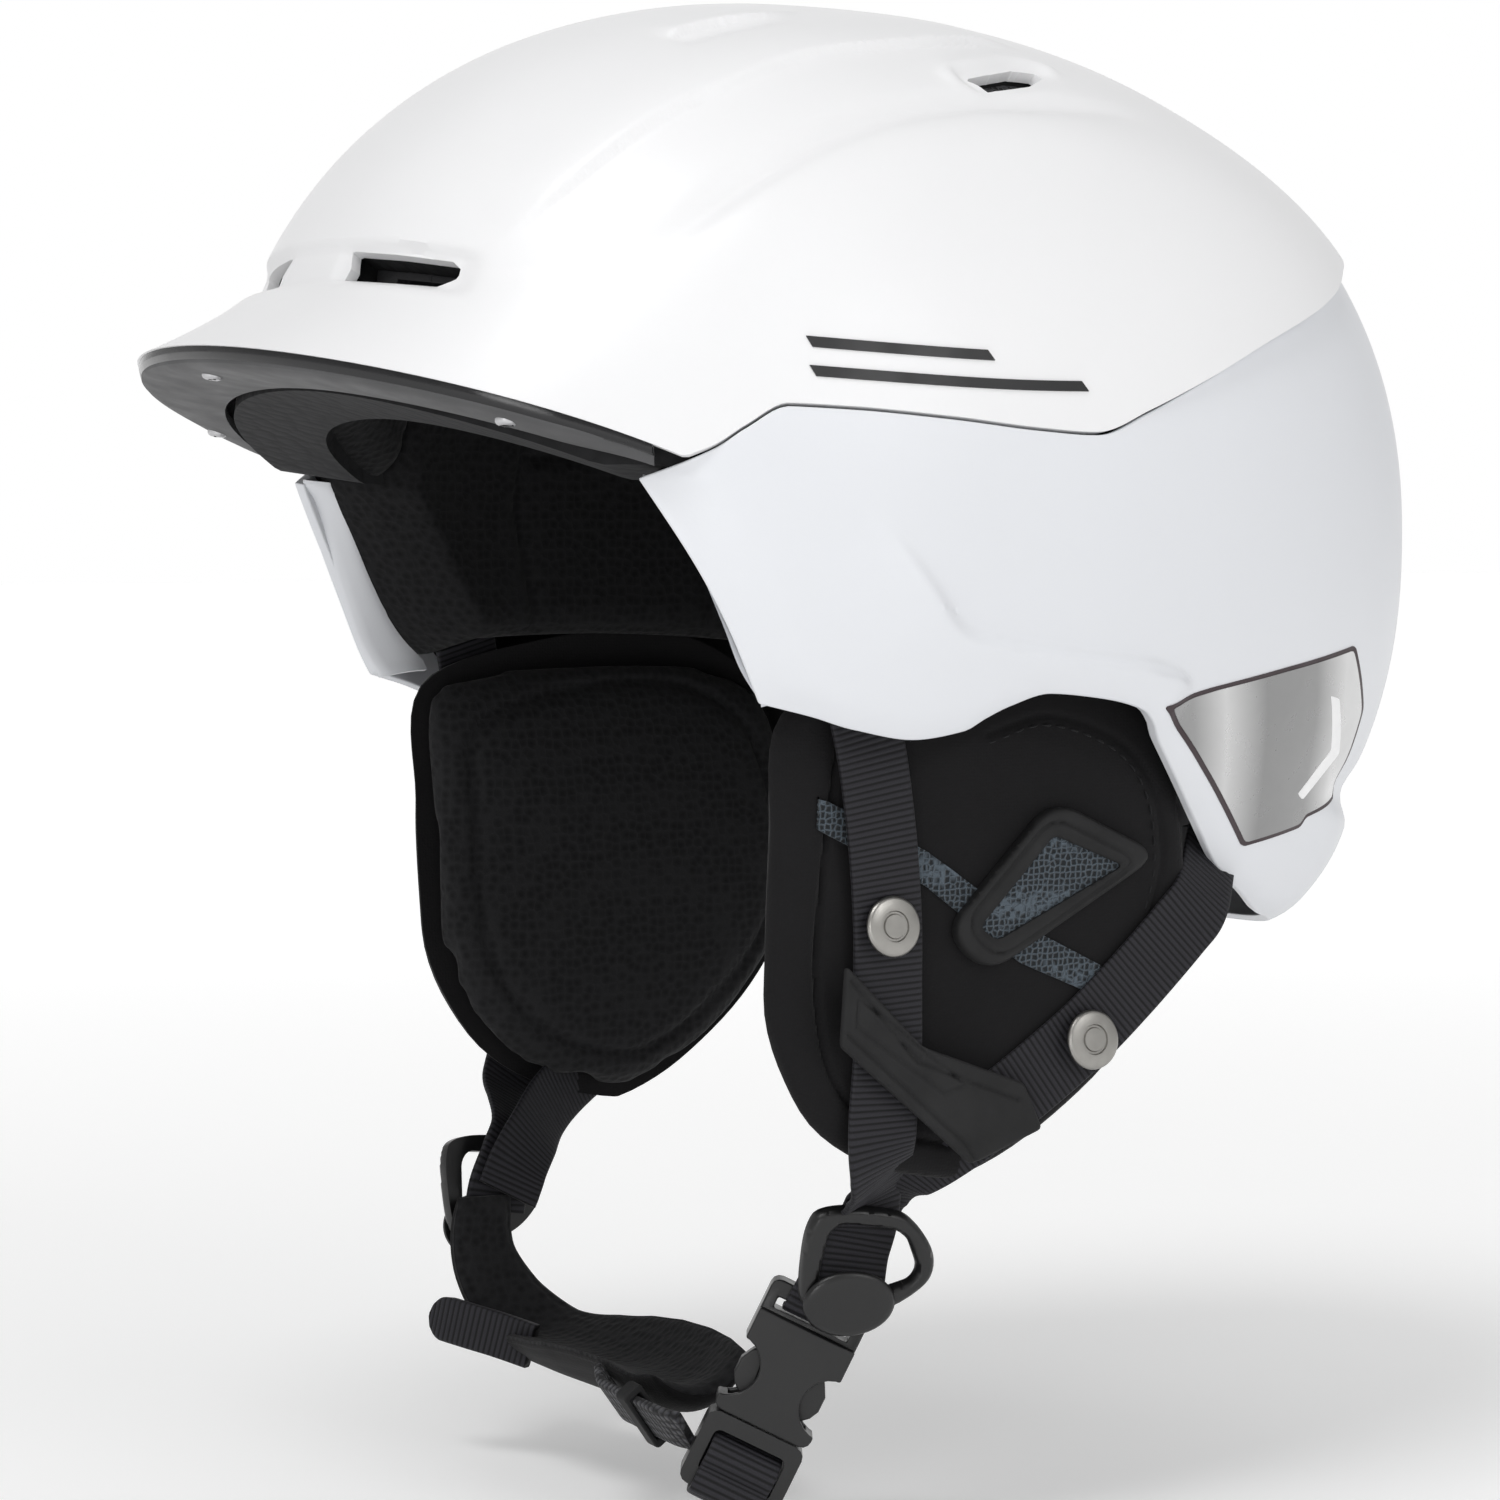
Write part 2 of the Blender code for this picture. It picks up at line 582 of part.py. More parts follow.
def make_divider(side, label):
    """The three-way ring that gathers the straps, and the oval cap that locks them."""
    place = divider_frame(side)
    half = DIVIDER_THICKNESS / 2
    outer = [(x * MM, y * MM) for x, y in DIVIDER_OUTLINE]
    ring = add_object(f"strap_divider_{label}", prism(outer, -half, half, place), "acetal_black")
    hole = [(x * MM, y * MM) for x, y in DIVIDER_HOLE]
    cut(ring, add_object(f"divider_hole_{label}", prism(hole, -3 * half, 3 * half, place), None))
    oval = [(CAP_CENTER[0] + CAP_HALF_WIDTH * x, CAP_CENTER[1] + CAP_HALF_HEIGHT * y)
            for x, y in round_outline(1.0)]
    cap = prism(oval, half + GAP, half + GAP + 2.4 * MM, place)
    add_object(f"divider_cap_{label}", cap, "acetal_black")


# ---- chin strap and buckle ----
def buckle_frame():
    out = (BUCKLE_OUT - BUCKLE_OUT.project(BUCKLE_ALONG)).normalized()
    across = BUCKLE_ALONG.cross(out).normalized()
    return Matrix.Translation(BUCKLE_TOP) @ Matrix((across, BUCKLE_ALONG, out)).transposed().to_4x4()


def make_buckle():
    """The upper half has the webbing slot and a waist; the lower half has the prongs and the window."""
    place = buckle_frame()
    half = BUCKLE_WIDTH / 2
    deep = BUCKLE_DEPTH / 2
    reach = 9 * MM

    upper = rounded_box(-half, half, 0, BUCKLE_SPLIT, 2 * MM)
    female = add_object("buckle_female", prism(upper, -deep, deep, place), "acetal_black")
    slot = prism(box_outline(-8.5 * MM, 8.5 * MM, 3.6 * MM, 6 * MM), -reach, reach, place)
    cavity = prism(box_outline(-9 * MM, 9 * MM, 9.5 * MM, BUCKLE_SPLIT + 1 * MM), -2.4 * MM, 2.4 * MM, place)
    step = prism(box_outline(-reach - half, reach + half, -reach, 7 * MM), 2.6 * MM, reach, place)
    cutters = [add_object("female_slot", slot, None), add_object("female_cavity", cavity, None),
               add_object("bar_step", step, None)]
    for sign, name in ((1, "a"), (-1, "b")):
        waist = prism(round_outline(6.5 * MM, x=sign * 11.7 * MM, y=20.5 * MM), -reach, reach, place)
        cutters.append(add_object(f"waist_{name}", waist, None))
    cut(female, *cutters)

    lower = rounded_box(-half, half, BUCKLE_SPLIT + GAP, 47 * MM, 2.2 * MM)
    male = add_object("buckle_male", prism(lower, -deep, deep, place), "acetal_black")
    window = prism(rounded_box(-8.2 * MM, 8.2 * MM, 33.8 * MM, 43.5 * MM, 1.5 * MM), -reach, reach, place)
    cut(male, add_object("male_window", window, None))

    tongue = prism(box_outline(-1.6 * MM, 1.6 * MM, 11 * MM, BUCKLE_SPLIT), -1.6 * MM, 1.6 * MM, place)
    add_object("buckle_guide", tongue, "acetal_black")

    for sign, name in ((1, "front"), (-1, "rear")):
        outline = [(3.4, 29.9), (6.0, 29.9), (7.0, 25.6), (8.8, 24), (9.8, 22), (9.8, 18.6), (8.2, 15.6),
                   (5.6, 14.6), (4.8, 22)]
        points = [(sign * x * MM, y * MM) for x, y in outline]
        prong = add_object(f"latch_prong_{name}", prism(points, -1.8 * MM, 1.8 * MM, place), "acetal_black")
        set_origin(prong, place @ Vector((sign * 4.7 * MM, 29.9 * MM, 0)))

    loop = []
    normals = []
    bar = Vector((0, 45.4 * MM, 0))
    for angle in range(-90, 91, 30):
        offset = Vector((0, sin(radians(angle)), cos(radians(angle))))
        loop.append(bar + Vector((0, offset.z * 5.4 * MM, -offset.y * 6.0 * MM)))
        normals.append(Vector((0, offset.z, -offset.y)))
    loop = [Vector((0, 36 * MM, 6.0 * MM)), *loop, Vector((0, 36 * MM, -6.0 * MM))]
    normals = [Vector((0, 0, 1)), *normals, Vector((0, 0, -1))]
    route = [place @ p for p in loop]
    facing = [place.to_3x3() @ n for n in normals]
    add_object("buckle_webbing", ribbon(route, facing, STRAP_WIDTH, STRAP), "webbing")

    link = [Vector((0, 4.8 * MM, 3.6 * MM)), Vector((0, 2.8 * MM, 3.6 * MM)), Vector((0, 0.9 * MM, 3.5 * MM))]
    facing = [place.to_3x3() @ Vector((0, 0, 1))] * 3
    add_object("buckle_link", ribbon([place @ p for p in link], facing, 14 * MM, STRAP), "webbing")


CHIN_ROUTE = [(-60, -36, -245.5), (-56, -33, -255), (-46, -29, -262.5), (-30, -26.5, -265.5),
              (-14, -25, -266), (4, -24, -266), (18, -24.5, -265.5), (30, -26, -263.5)]
CHIN_NORMALS = [(-0.95, -0.1, -0.3), (-0.7, 0, -0.7), (-0.35, 0.1, -0.93), (-0.1, 0.18, -0.98),
                (0, 0.2, -0.98), (0, 0.2, -0.98), (0.05, 0.18, -0.98), (0.1, 0.1, -0.98)]
CHIN_WIDTHS = [17 * MM, 22 * MM, 27 * MM, 29 * MM, 29 * MM, 28 * MM, 26 * MM, 22 * MM]
CHIN_CUPS = [1 * MM, 3 * MM, 6 * MM, 8 * MM, 9 * MM, 9 * MM, 8 * MM, 6 * MM]
TAB_START = Vector((12 * MM, -39.6 * MM, -266 * MM))
TAB_END = Vector((36 * MM, -38.6 * MM, -268 * MM))
TAB_FACE = Vector((0, -0.8, -0.6))
TAIL_ROUTE = [(-46, -52, -258), (-52, -56, -256), (-60, -57, -255)]


def make_chin_strap():
    route = [Vector(p) * MM for p in CHIN_ROUTE]
    add_object("chin_pad", ribbon(route, CHIN_NORMALS, CHIN_WIDTHS, 7 * MM, CHIN_CUPS), "padding_black")

    tail = [Vector(p) * MM for p in TAIL_ROUTE]
    add_object("strap_tail", ribbon(tail, [Vector((0.1, -1, 0.2))] * 3, 12 * MM, 4 * MM), "webbing")

    add_object("elastic_tab", ribbon([TAB_START, TAB_END], [TAB_FACE] * 2, 11 * MM, 2 * MM), "webbing")
    along_tab = (TAB_END - TAB_START).normalized()
    across = along_tab.cross(TAB_FACE).normalized()
    out = across.cross(along_tab)
    middle = TAB_START + (TAB_END - TAB_START) * 0.58
    place = Matrix.Translation(middle) @ Matrix((across, out, along_tab)).transposed().to_4x4()
    ring = add_object("elastic_keeper", prism(rounded_box(-7.6 * MM, 7.6 * MM, -2.5 * MM, 2.5 * MM, 1 * MM),
                                              -2 * MM, 2 * MM, place), "soft_rubber")
    opening = prism(box_outline(-5.9 * MM, 5.9 * MM, -1.35 * MM, 1.35 * MM), -9 * MM, 9 * MM, place)
    cut(ring, add_object("keeper_opening", opening, None))


# ---- fit dial ----
def band_point(angle, radius, z):
    return (BAND_CENTER[0] + radius * cos(radians(angle)), BAND_CENTER[1] + radius * sin(radians(angle)), z)


def arc_plate(first, last, radius, thickness, low, high, columns=10):
    outer, inner = [], []
    for j in range(columns + 1):
        angle = first + (last - first) * j / columns
        outer.append([band_point(angle, radius + thickness, z) for z in (low, high)])
        inner.append([band_point(angle, radius, z) for z in (low, high)])
    return grid_solid(outer, inner)


def make_fit_system():
    shaft_y = BAND_CENTER[1] + BAND_RADIUS
    flat = Matrix.Translation((0, shaft_y, DIAL_Z)) @ Matrix.Rotation(-pi / 2, 4, "X")

    cradle = add_object("cradle", arc_plate(60, 120, 71.5 * MM, 2.4 * MM, -168 * MM, -112 * MM, 14),
                        "fit_plastic")
    bore = prism(round_outline(2.1 * MM, sides=16), -20 * MM, 20 * MM, flat)
    cut(cradle, add_object("cradle_bore", bore, None))
    add_object("nape_pad", arc_plate(64, 116, 63 * MM, 8 * MM, -140 * MM, -114 * MM, 12), "padding_black")

    for sign, label in ((1, "left"), (-1, "right")):
        def turned(angle):
            return angle if sign > 0 else 180 - angle
        low, high = DIAL_Z - 6 * MM, DIAL_Z + 6 * MM
        rack_near, rack_far = PINION_RADIUS + GAP, 6 * MM
        rack = sorted((DIAL_Z - sign * rack_near, DIAL_Z - sign * rack_far))
        profile = [(38, low, high), (57, low, high), (58, *rack), (98, *rack)]
        outer, inner = [], []
        for first, last in zip(profile, profile[1:]):
            for k in range(5):
                share = k / 5
                low_z = first[1] + (last[1] - first[1]) * share
                high_z = first[2] + (last[2] - first[2]) * share
                angle = turned(first[0] + (last[0] - first[0]) * share)
                outer.append([band_point(angle, BAND_RADIUS + BAND, z) for z in (low_z, high_z)])
                inner.append([band_point(angle, BAND_RADIUS, z) for z in (low_z, high_z)])
        angle = turned(98)
        outer.append([band_point(angle, BAND_RADIUS + BAND, z) for z in rack])
        inner.append([band_point(angle, BAND_RADIUS, z) for z in rack])
        band = add_object(f"fit_band_{label}", grid_solid(outer, inner), "fit_plastic")
        set_origin(band, (BAND_CENTER[0], BAND_CENTER[1], DIAL_Z))

    dial_bm = prism(round_outline(DIAL_RADIUS, sides=28), 6.5 * MM, 15 * MM, flat)
    dial = add_object("fit_dial", dial_bm, "soft_rubber")
    set_origin(dial, (0, shaft_y, DIAL_Z))
    pinion_bm = prism(round_outline(1.8 * MM, sides=14), -0.5 * MM, 6.2 * MM, flat)
    pinion = add_object("dial_shaft", pinion_bm, "fit_plastic")
    set_origin(pinion, (0, shaft_y, DIAL_Z))


# ---- goggle-strap clip on the rear shell ----
def make_goggle_clip():
    """A sprung lever on a steel pin between two lugs; its outlines lie in the helmet's middle plane."""
    hinge = Vector((0, 157.5 * MM, -104 * MM))
    side = Matrix((Vector((0, 1, 0)), Vector((0, 0, 1)), Vector((1, 0, 0)))).transposed().to_4x4()
    place = Matrix.Translation(hinge) @ side

    lug = [(-4.4, -6), (-3.4, -6), (-1.2, -2.4), (1.6, -2.2), (2.4, 0), (1.6, 2.2), (-1.2, 2.4), (-3.4, 6),
           (-4.4, 6)]
    points = [(x * MM, y * MM) for x, y in lug]
    base = add_object("clip_base", prism(points, -12 * MM, 12 * MM, place), "fit_plastic")
    gap = prism(box_outline(-3.4 * MM, 9 * MM, -9 * MM, 9 * MM), -8.4 * MM, 8.4 * MM, place)
    bore = prism(round_outline(1.3 * MM, sides=16), -20 * MM, 20 * MM, place)
    cut(base, add_object("lug_gap", gap, None), add_object("lug_bore", bore, None))

    lever = [(-1.9, 1.8), (0, 2.6), (2.4, 1.8), (3.6, -1), (3.0, -8), (0.2, -20), (-6.5, -31), (-11.5, -37),
             (-14, -36.5), (-8.8, -30.5), (-2.6, -19.5), (-0.4, -8), (-1.9, -1.8), (-2.6, 0)]
    points = [(x * MM, y * MM) for x, y in lever]
    clip = add_object("goggle_clip", prism(points, -8 * MM, 8 * MM, place), "fit_plastic")
    cut(clip, add_object("clip_bore", prism(round_outline(1.3 * MM, sides=16), -19 * MM, 19 * MM, place), None))
    set_origin(clip, hinge)
    add_object("clip_pin", prism(round_outline(1 * MM, sides=16), -12 * MM, 12 * MM, place), "pin_steel")


def build():
    clear_scene()
    make_upper_shell()
    make_lower_shell()
    make_foam()
    make_brim_screws(make_brim_plate())
    make_vent_parts()
    make_pads()
    for side, label in ((1, "left"), (-1, "right")):
        make_ear(side, label)
        make_divider(side, label)
    make_buckle()
    make_chin_strap()
    make_fit_system()
    make_goggle_clip()


build()
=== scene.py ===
"""Looks of the ski helmet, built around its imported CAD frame.

Frame: metres, +Z up, the brim points along -Y, the wearer's left side is +X.
"""

from math import cos, pi, radians, sin

import bmesh
import bpy
import numpy as np
from mathutils import Matrix, Vector


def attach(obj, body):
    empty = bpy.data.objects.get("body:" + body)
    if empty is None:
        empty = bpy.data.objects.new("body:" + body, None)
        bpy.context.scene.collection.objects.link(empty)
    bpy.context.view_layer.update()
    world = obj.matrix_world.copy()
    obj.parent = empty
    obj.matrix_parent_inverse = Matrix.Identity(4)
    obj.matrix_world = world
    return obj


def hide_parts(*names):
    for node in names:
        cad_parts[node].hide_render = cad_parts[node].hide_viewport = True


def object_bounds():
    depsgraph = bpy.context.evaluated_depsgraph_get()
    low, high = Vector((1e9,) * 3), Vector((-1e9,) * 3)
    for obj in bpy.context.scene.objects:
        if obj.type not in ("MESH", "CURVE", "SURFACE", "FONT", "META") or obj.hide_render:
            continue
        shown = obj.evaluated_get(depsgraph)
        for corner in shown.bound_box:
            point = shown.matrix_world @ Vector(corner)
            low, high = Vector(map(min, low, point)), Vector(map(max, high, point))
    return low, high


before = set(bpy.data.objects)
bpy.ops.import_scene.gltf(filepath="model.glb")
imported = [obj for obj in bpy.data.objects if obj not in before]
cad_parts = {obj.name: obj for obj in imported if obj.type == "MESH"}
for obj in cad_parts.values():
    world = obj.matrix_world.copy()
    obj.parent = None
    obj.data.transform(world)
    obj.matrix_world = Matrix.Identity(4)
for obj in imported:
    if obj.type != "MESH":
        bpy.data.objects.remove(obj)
cad_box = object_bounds()

MM = 0.001
SIDES = ((1, "left"), (-1, "right"))

# ---- the shell's outer form, as in the CAD ----
CENTER = np.array((0.0, 0.0, -82 * MM))
HALF_WIDTH = 106 * MM
FRONT_REACH = 116 * MM
REAR_REACH = 154 * MM
UP_REACH = 116 * MM
DOWN_REACH = 118 * MM
FULLNESS = 2.25
MEAN_RADIUS = 112 * MM

SHELL = 2.5 * MM
FOAM_OUT = 3.5 * MM
FOAM_IN = 24 * MM
PAD_OUT = 25.6 * MM
PAD_IN = 32 * MM
BRIM_REACH = 22.5 * MM
BRIM_TIP_Z = -41.6 * MM
BRIM_DROP = 0.0077 * MM
BRIM_END = 55.0
VENT_LINE = 27.0
LEDGE = 3.5 * MM
TAIL_FLARE = 9 * MM

# Outlines and lines on the form: (degrees round from the front, degrees above the centre).
SEAM = [(55, 8.7), (58, 10), (61, 12), (65.6, 14.4), (72, 14.3), (84, 13.6), (96, 12.4), (103, 11.9),
        (110, 14), (118, 16.7), (128.5, 20), (145, 23.5), (151, 25), (165, 26.5), (180, 27)]
BOTTOM = [(62.4, -16.7), (68.6, -18.3), (73, -19.7), (80.6, -21.1), (86.6, -20.3), (89, -19), (92, -17.6),
          (97, -16.2), (104, -16.6), (110, -17.6), (114, -21), (118, -24.5), (125, -29.8), (131, -33.7),
          (137, -36), (145, -38), (180, -38.5)]
FOAM_EDGE = [(53, 8), (57, 5), (61.5, 0), (64.5, -5), (68, -10.5), (72, -12), (134, -12), (139, -13),
             (143, -24), (150, -28), (155, -27), (160, -18), (180, -17)]
LINING_FRONT = [(-16, 70), (-12, 66), (-5, 61.5), (0, 58.5), (5, 55), (8, 53), (20, 51.5), (36, 51.5)]
FRONT_VENT = [(8.6, 30.4), (18, 29.5), (26.8, 28.4), (28.4, 27.4), (28, 26.5), (26, 25.7), (17, 26.4),
              (9.4, 27.1), (9.8, 28.4)]
TOP_VENT = [(104, 55.4), (110, 56), (119, 56.4), (124.5, 55.4), (124.5, 54.4), (118, 53.4), (107, 53.2)]
VENTS = (FRONT_VENT, TOP_VENT)
GRILLE_GAP = [(14, 27.3), (25, 26.7), (25, 27.8), (14, 29)]
UPPER_LEDGE = [(31, 28), (35, 31), (41, 37), (48, 44), (57, 50), (71, 57), (91, 61), (116, 62), (136, 59)]
UPPER_GROOVE = [(46, 27), (53.5, 32), (63, 39.5), (75, 46), (89.5, 50), (106, 51), (127, 48), (140, 42.5)]
SCOOP = [(44.2, 60), (56, 65.5), (84.6, 73.1)]
CHEEK_RIDGE = [(74, 4.6), (78, 0), (82, -5), (85, -9), (90, -10.6), (100.5, -12), (111.5, -13),
               (117.5, -14.6)]
BADGE = [(113, -17), (120, -15), (130, -12.6), (141.5, -10), (145, -13.5), (147, -15.4), (148, -23.4),
         (141, -26), (140.6, -27), (131.6, -30), (121, -22.8)]
STRIPES = [[(68.5, 17.2), (102, 16.2), (101.2, 17.3), (67.8, 18.3)],
           [(68.2, 20.2), (90, 19.6), (89.2, 20.7), (67.5, 21.3)]]
CHEVRON = [(140.5, -14.6), (144.6, -19.6), (139.4, -24.6), (138, -24.2), (142.2, -19.4), (138.6, -14.4)]


# ---- small mathematics ----
def smooth(low, high, x):
    t = np.clip((np.asarray(x, float) - low) / (high - low), 0.0, 1.0)
    return t * t * (3 - 2 * t)


def bump_at(x, middle, width):
    return np.exp(-(((np.asarray(x, float) - middle) / width) ** 2))


def shoulder(x, power=2, least=0.0):
    """1 at 0, falling to the square root of the least value at -1 and 1, with a rounded shoulder."""
    return np.sqrt(np.clip(1 - np.abs(x) ** power, least, 1))


def along(table, x):
    """A smooth curve through a table's points that never overshoots them."""
    xs, ys = np.array(table, float).T
    step = np.diff(xs)
    slope = np.diff(ys) / step
    tangent = np.zeros(len(xs))
    tangent[[0, -1]] = slope[[0, -1]]
    same = slope[:-1] * slope[1:] > 0
    tangent[1:-1][same] = 2 * slope[:-1][same] * slope[1:][same] / (slope[:-1] + slope[1:])[same]
    x = np.clip(np.asarray(x, float), xs[0], xs[-1])
    k = np.clip(np.searchsorted(xs, x) - 1, 0, len(step) - 1)
    t = (x - xs[k]) / step[k]
    return (ys[k] * (1 + 2 * t) * (1 - t) ** 2 + step[k] * tangent[k] * t * (1 - t) ** 2
            + ys[k + 1] * t * t * (3 - 2 * t) + step[k] * tangent[k + 1] * t * t * (t - 1))


def spline(points, count, closed=False):
    """Points evenly spaced along a smooth curve through the given ones."""
    p = np.array(points, float)
    p = np.vstack([p[-1], p, p[:2]]) if closed else np.vstack([2 * p[0] - p[1], p, 2 * p[-1] - p[-2]])
    t = np.linspace(0, 1, 24, endpoint=False)[:, None]
    pieces = []
    for a, b, c, d in zip(p, p[1:], p[2:], p[3:]):
        pieces.append(0.5 * (2 * b + (c - a) * t + (2 * a - 5 * b + 4 * c - d) * t ** 2
                             + (3 * b - a - 3 * c + d) * t ** 3))
    dense = np.vstack([*pieces, p[1] if closed else p[-2]])
    length = np.concatenate([[0], np.cumsum(np.linalg.norm(np.diff(dense, axis=0), axis=1))])
    where = np.linspace(0, length[-1], count, endpoint=not closed)
    return np.stack([np.interp(where, length, dense[:, k]) for k in range(dense.shape[1])], 1)


def rounded(outline, radius, steps=5):
    """A closed outline with each corner replaced by an arc-like curve."""
    p = np.array(outline, float)
    result = []
    for before, corner, after in zip(np.roll(p, 1, axis=0), p, np.roll(p, -1, axis=0)):
        a, b = before - corner, after - corner
        reach = min(radius, np.linalg.norm(a) * 0.48, np.linalg.norm(b) * 0.48)
        start = corner + a / np.linalg.norm(a) * reach
        end = corner + b / np.linalg.norm(b) * reach
        for t in np.linspace(0, 1, steps):
            result.append(start * (1 - t) ** 2 + 2 * corner * t * (1 - t) + end * t * t)
    return np.array(result)


def mirrored(outline, side):
    return np.array(outline, float) * (side, 1)


def closed_line(outline):
    p = np.asarray(outline, float)
    return np.vstack([p, p[:1]])


def scaled(outline, factor, around=None):
    p = np.array(outline, float)
    middle = p.mean(axis=0) if around is None else np.array(around)
    return middle + (p - middle) * factor


# ---- the outer form ----
def plan_radius(theta):
    t = np.radians(theta)
    reach = np.where(np.abs(theta) < 90, FRONT_REACH, REAR_REACH)
    level = (np.abs(np.sin(t)) / HALF_WIDTH) ** FULLNESS + (np.abs(np.cos(t)) / reach) ** FULLNESS
    return level ** (-1 / FULLNESS)


def direction_of(theta, phi):
    t, p = np.radians(theta), np.radians(phi)
    return np.stack([np.sin(t) * np.cos(p), -np.cos(t) * np.cos(p), np.sin(p) + 0 * t], -1)


def form_point(theta, phi, inset=0.0):
    """A point on the outer form, or a distance inside it."""
    theta, phi = np.asarray(theta, float), np.asarray(phi, float)
    p = np.radians(phi)
    reach = np.where(phi > 0, UP_REACH, DOWN_REACH)
    level = (np.cos(p) / plan_radius(theta)) ** FULLNESS + (np.abs(np.sin(p)) / reach) ** FULLNESS
    radius = level ** (-1 / FULLNESS) - inset
    return CENTER + radius[..., None] * direction_of(theta, phi)


def phi_at_height(theta, z):
    """The elevation at which the outer form reaches a height."""
    height = z - CENTER[2]
    radius = plan_radius(theta) * (1 - (np.abs(height) / UP_REACH) ** FULLNESS) ** (1 / FULLNESS)
    return np.degrees(np.arctan2(height, radius))


def outward(theta):
    """The level direction away from the middle."""
    t = np.radians(np.asarray(theta, float))
    return np.stack([np.sin(t), -np.cos(t), 0 * t], -1)


def brim_height(theta):
    return BRIM_TIP_Z - BRIM_DROP * np.asarray(theta, float) ** 2


def brim_flare(theta):
    return BRIM_REACH * np.maximum(np.cos(np.radians(1.5 * np.minimum(np.abs(theta), 60))), 0) ** 1.15


def upper_edge(theta):
    theta = np.abs(np.asarray(theta, float))
    front = phi_at_height(theta, brim_height(np.minimum(theta, BRIM_END)))
    return np.where(theta < BRIM_END, front, along(SEAM, theta))


def upper_point(theta, phi, inset=0.0):
    """The upper shell's form: flared into the brim in front and proud of the lower shell behind."""
    theta, phi = np.asarray(theta, float), np.asarray(phi, float)
    edge = upper_edge(theta)
    share = np.clip((VENT_LINE - phi) / np.maximum(VENT_LINE - edge, 1), 0, None)
    flare = np.where(np.abs(theta) < 60, brim_flare(theta) * share ** 1.35, 0)
    proud = LEDGE * smooth(100, 140, np.abs(theta)) * (1 - smooth(edge, edge + 22, phi))
    return form_point(theta, phi, inset) + outward(theta) * (flare + proud)[..., None]


def lower_point(theta, phi, inset=0.0):
    """The lower shell's form, with its flared tail and the channel across the nape."""
    rear = np.abs(theta)
    flare = TAIL_FLARE * smooth(118, 150, rear) * (1 - smooth(-38, -20, phi))
    knuckle = smooth(140, 150, rear) * (1 - smooth(-26.5, -23.2, phi)) * smooth(-38, -27, phi)
    channel = smooth(143, 151, rear) * bump_at(phi, -22.2, 1.6)
    flare = flare + 2.6 * MM * knuckle - 1.3 * MM * channel
    return form_point(theta, phi, inset) + outward(theta) * flare[..., None]


def line_distance(line, theta, phi):
    """Millimetres from each point to a line on the form, positive above it, and the share along it."""
    line = spline(line, 60)
    points = direction_of(np.abs(theta), phi).reshape(-1, 3)
    ends = direction_of(line[:, 0], line[:, 1])
    best = np.full(len(points), 9.0)
    sign, station = np.ones(len(points)), np.zeros(len(points))
    for k, (a, b) in enumerate(zip(ends, ends[1:])):
        step = b - a
        t = np.clip((points - a) @ step / (step @ step), 0, 1)
        away = points - a - t[:, None] * step
        distance = np.linalg.norm(away, axis=1)
        closer = distance < best
        best[closer] = distance[closer]
        turn = np.einsum("ij,ij->i", np.cross(step, points - a), points)
        sign[closer] = np.sign(turn[closer])
        station[closer] = (k + t[closer]) / (len(ends) - 1)
    shape = np.shape(theta)
    return (best * sign).reshape(shape) * MEAN_RADIUS / MM, station.reshape(shape)


def fades(station, start=0.12, end=0.15):
    return smooth(0, start, station) * (1 - smooth(1 - end, 1, station))


def outline_distance(outline, theta, phi):
    """Millimetres outside a closed outline on the form."""
    dense = spline(outline, 160, closed=True)
    points = direction_of(np.abs(theta), phi).reshape(-1, 3)
    edge = direction_of(dense[:, 0], dense[:, 1])
    best = np.min(np.linalg.norm(points[:, None] - edge[None], axis=2), axis=1)
    return best.reshape(np.shape(theta)) * MEAN_RADIUS / MM


# ---- meshes ----
def make_object(name, points, faces, material, angle=40, uv=None, bevel=None):
    used, index = np.unique(np.concatenate([np.ravel(f) for f in faces]), return_inverse=True)
    sizes = [len(f) for f in faces]
    corners = np.split(index.reshape(-1), np.cumsum(sizes)[:-1])
    polygons = [list(dict.fromkeys(c.tolist())) for c in corners]
    mesh = bpy.data.meshes.new(name)
    mesh.from_pydata(np.asarray(points)[used].tolist(), [], [p for p in polygons if len(p) > 2])
    bm = bmesh.new()
    bm.from_mesh(mesh)
    bmesh.ops.recalc_face_normals(bm, faces=bm.faces)
    bm.to_mesh(mesh)
    bm.free()
    if uv is not None:
        layer = mesh.uv_layers.new(name="surface")
        spots = np.asarray(uv)[used][[loop.vertex_index for loop in mesh.loops]]
        layer.data.foreach_set("uv", spots.reshape(-1).astype(np.float32))
    return finish_object(name, mesh, material, angle, bevel)


def mesh_from(bm, name):
    mesh = bpy.data.meshes.new(name)
    bm.to_mesh(mesh)
    bm.free()
    return mesh


def finish_object(name, mesh, material, angle=40, bevel=None):
    """An object of a mesh with a named material, shaded smooth but for its sharp edges."""
    mesh.shade_smooth()
    mesh.set_sharp_from_angle(angle=radians(angle))
    mesh.materials.clear()
    mesh.materials.append(MATERIALS[material])
    obj = bpy.data.objects.new(name, mesh)
    bpy.context.scene.collection.objects.link(obj)
    if bevel:
        add_bevel(obj, bevel)
    return obj


def add_bevel(obj, width, segments=2, angle=40):
    modifier = obj.modifiers.new("round_edges", "BEVEL")
    modifier.width = width
    modifier.segments = segments
    modifier.limit_method = "ANGLE"
    modifier.angle_limit = radians(angle)
    modifier.harden_normals = True


def shell_faces(quads, count):
    """Both sides of a sheet of quads and the walls round its open edges."""
    starts, ends = quads.reshape(-1), np.roll(quads, -1, axis=1).reshape(-1)
    lone = ~np.isin(starts * count + ends, ends * count + starts)
    a, b = starts[lone], ends[lone]
    return np.concatenate([quads, quads[:, ::-1] + count, np.stack([b, a, a + count, b + count], 1)])


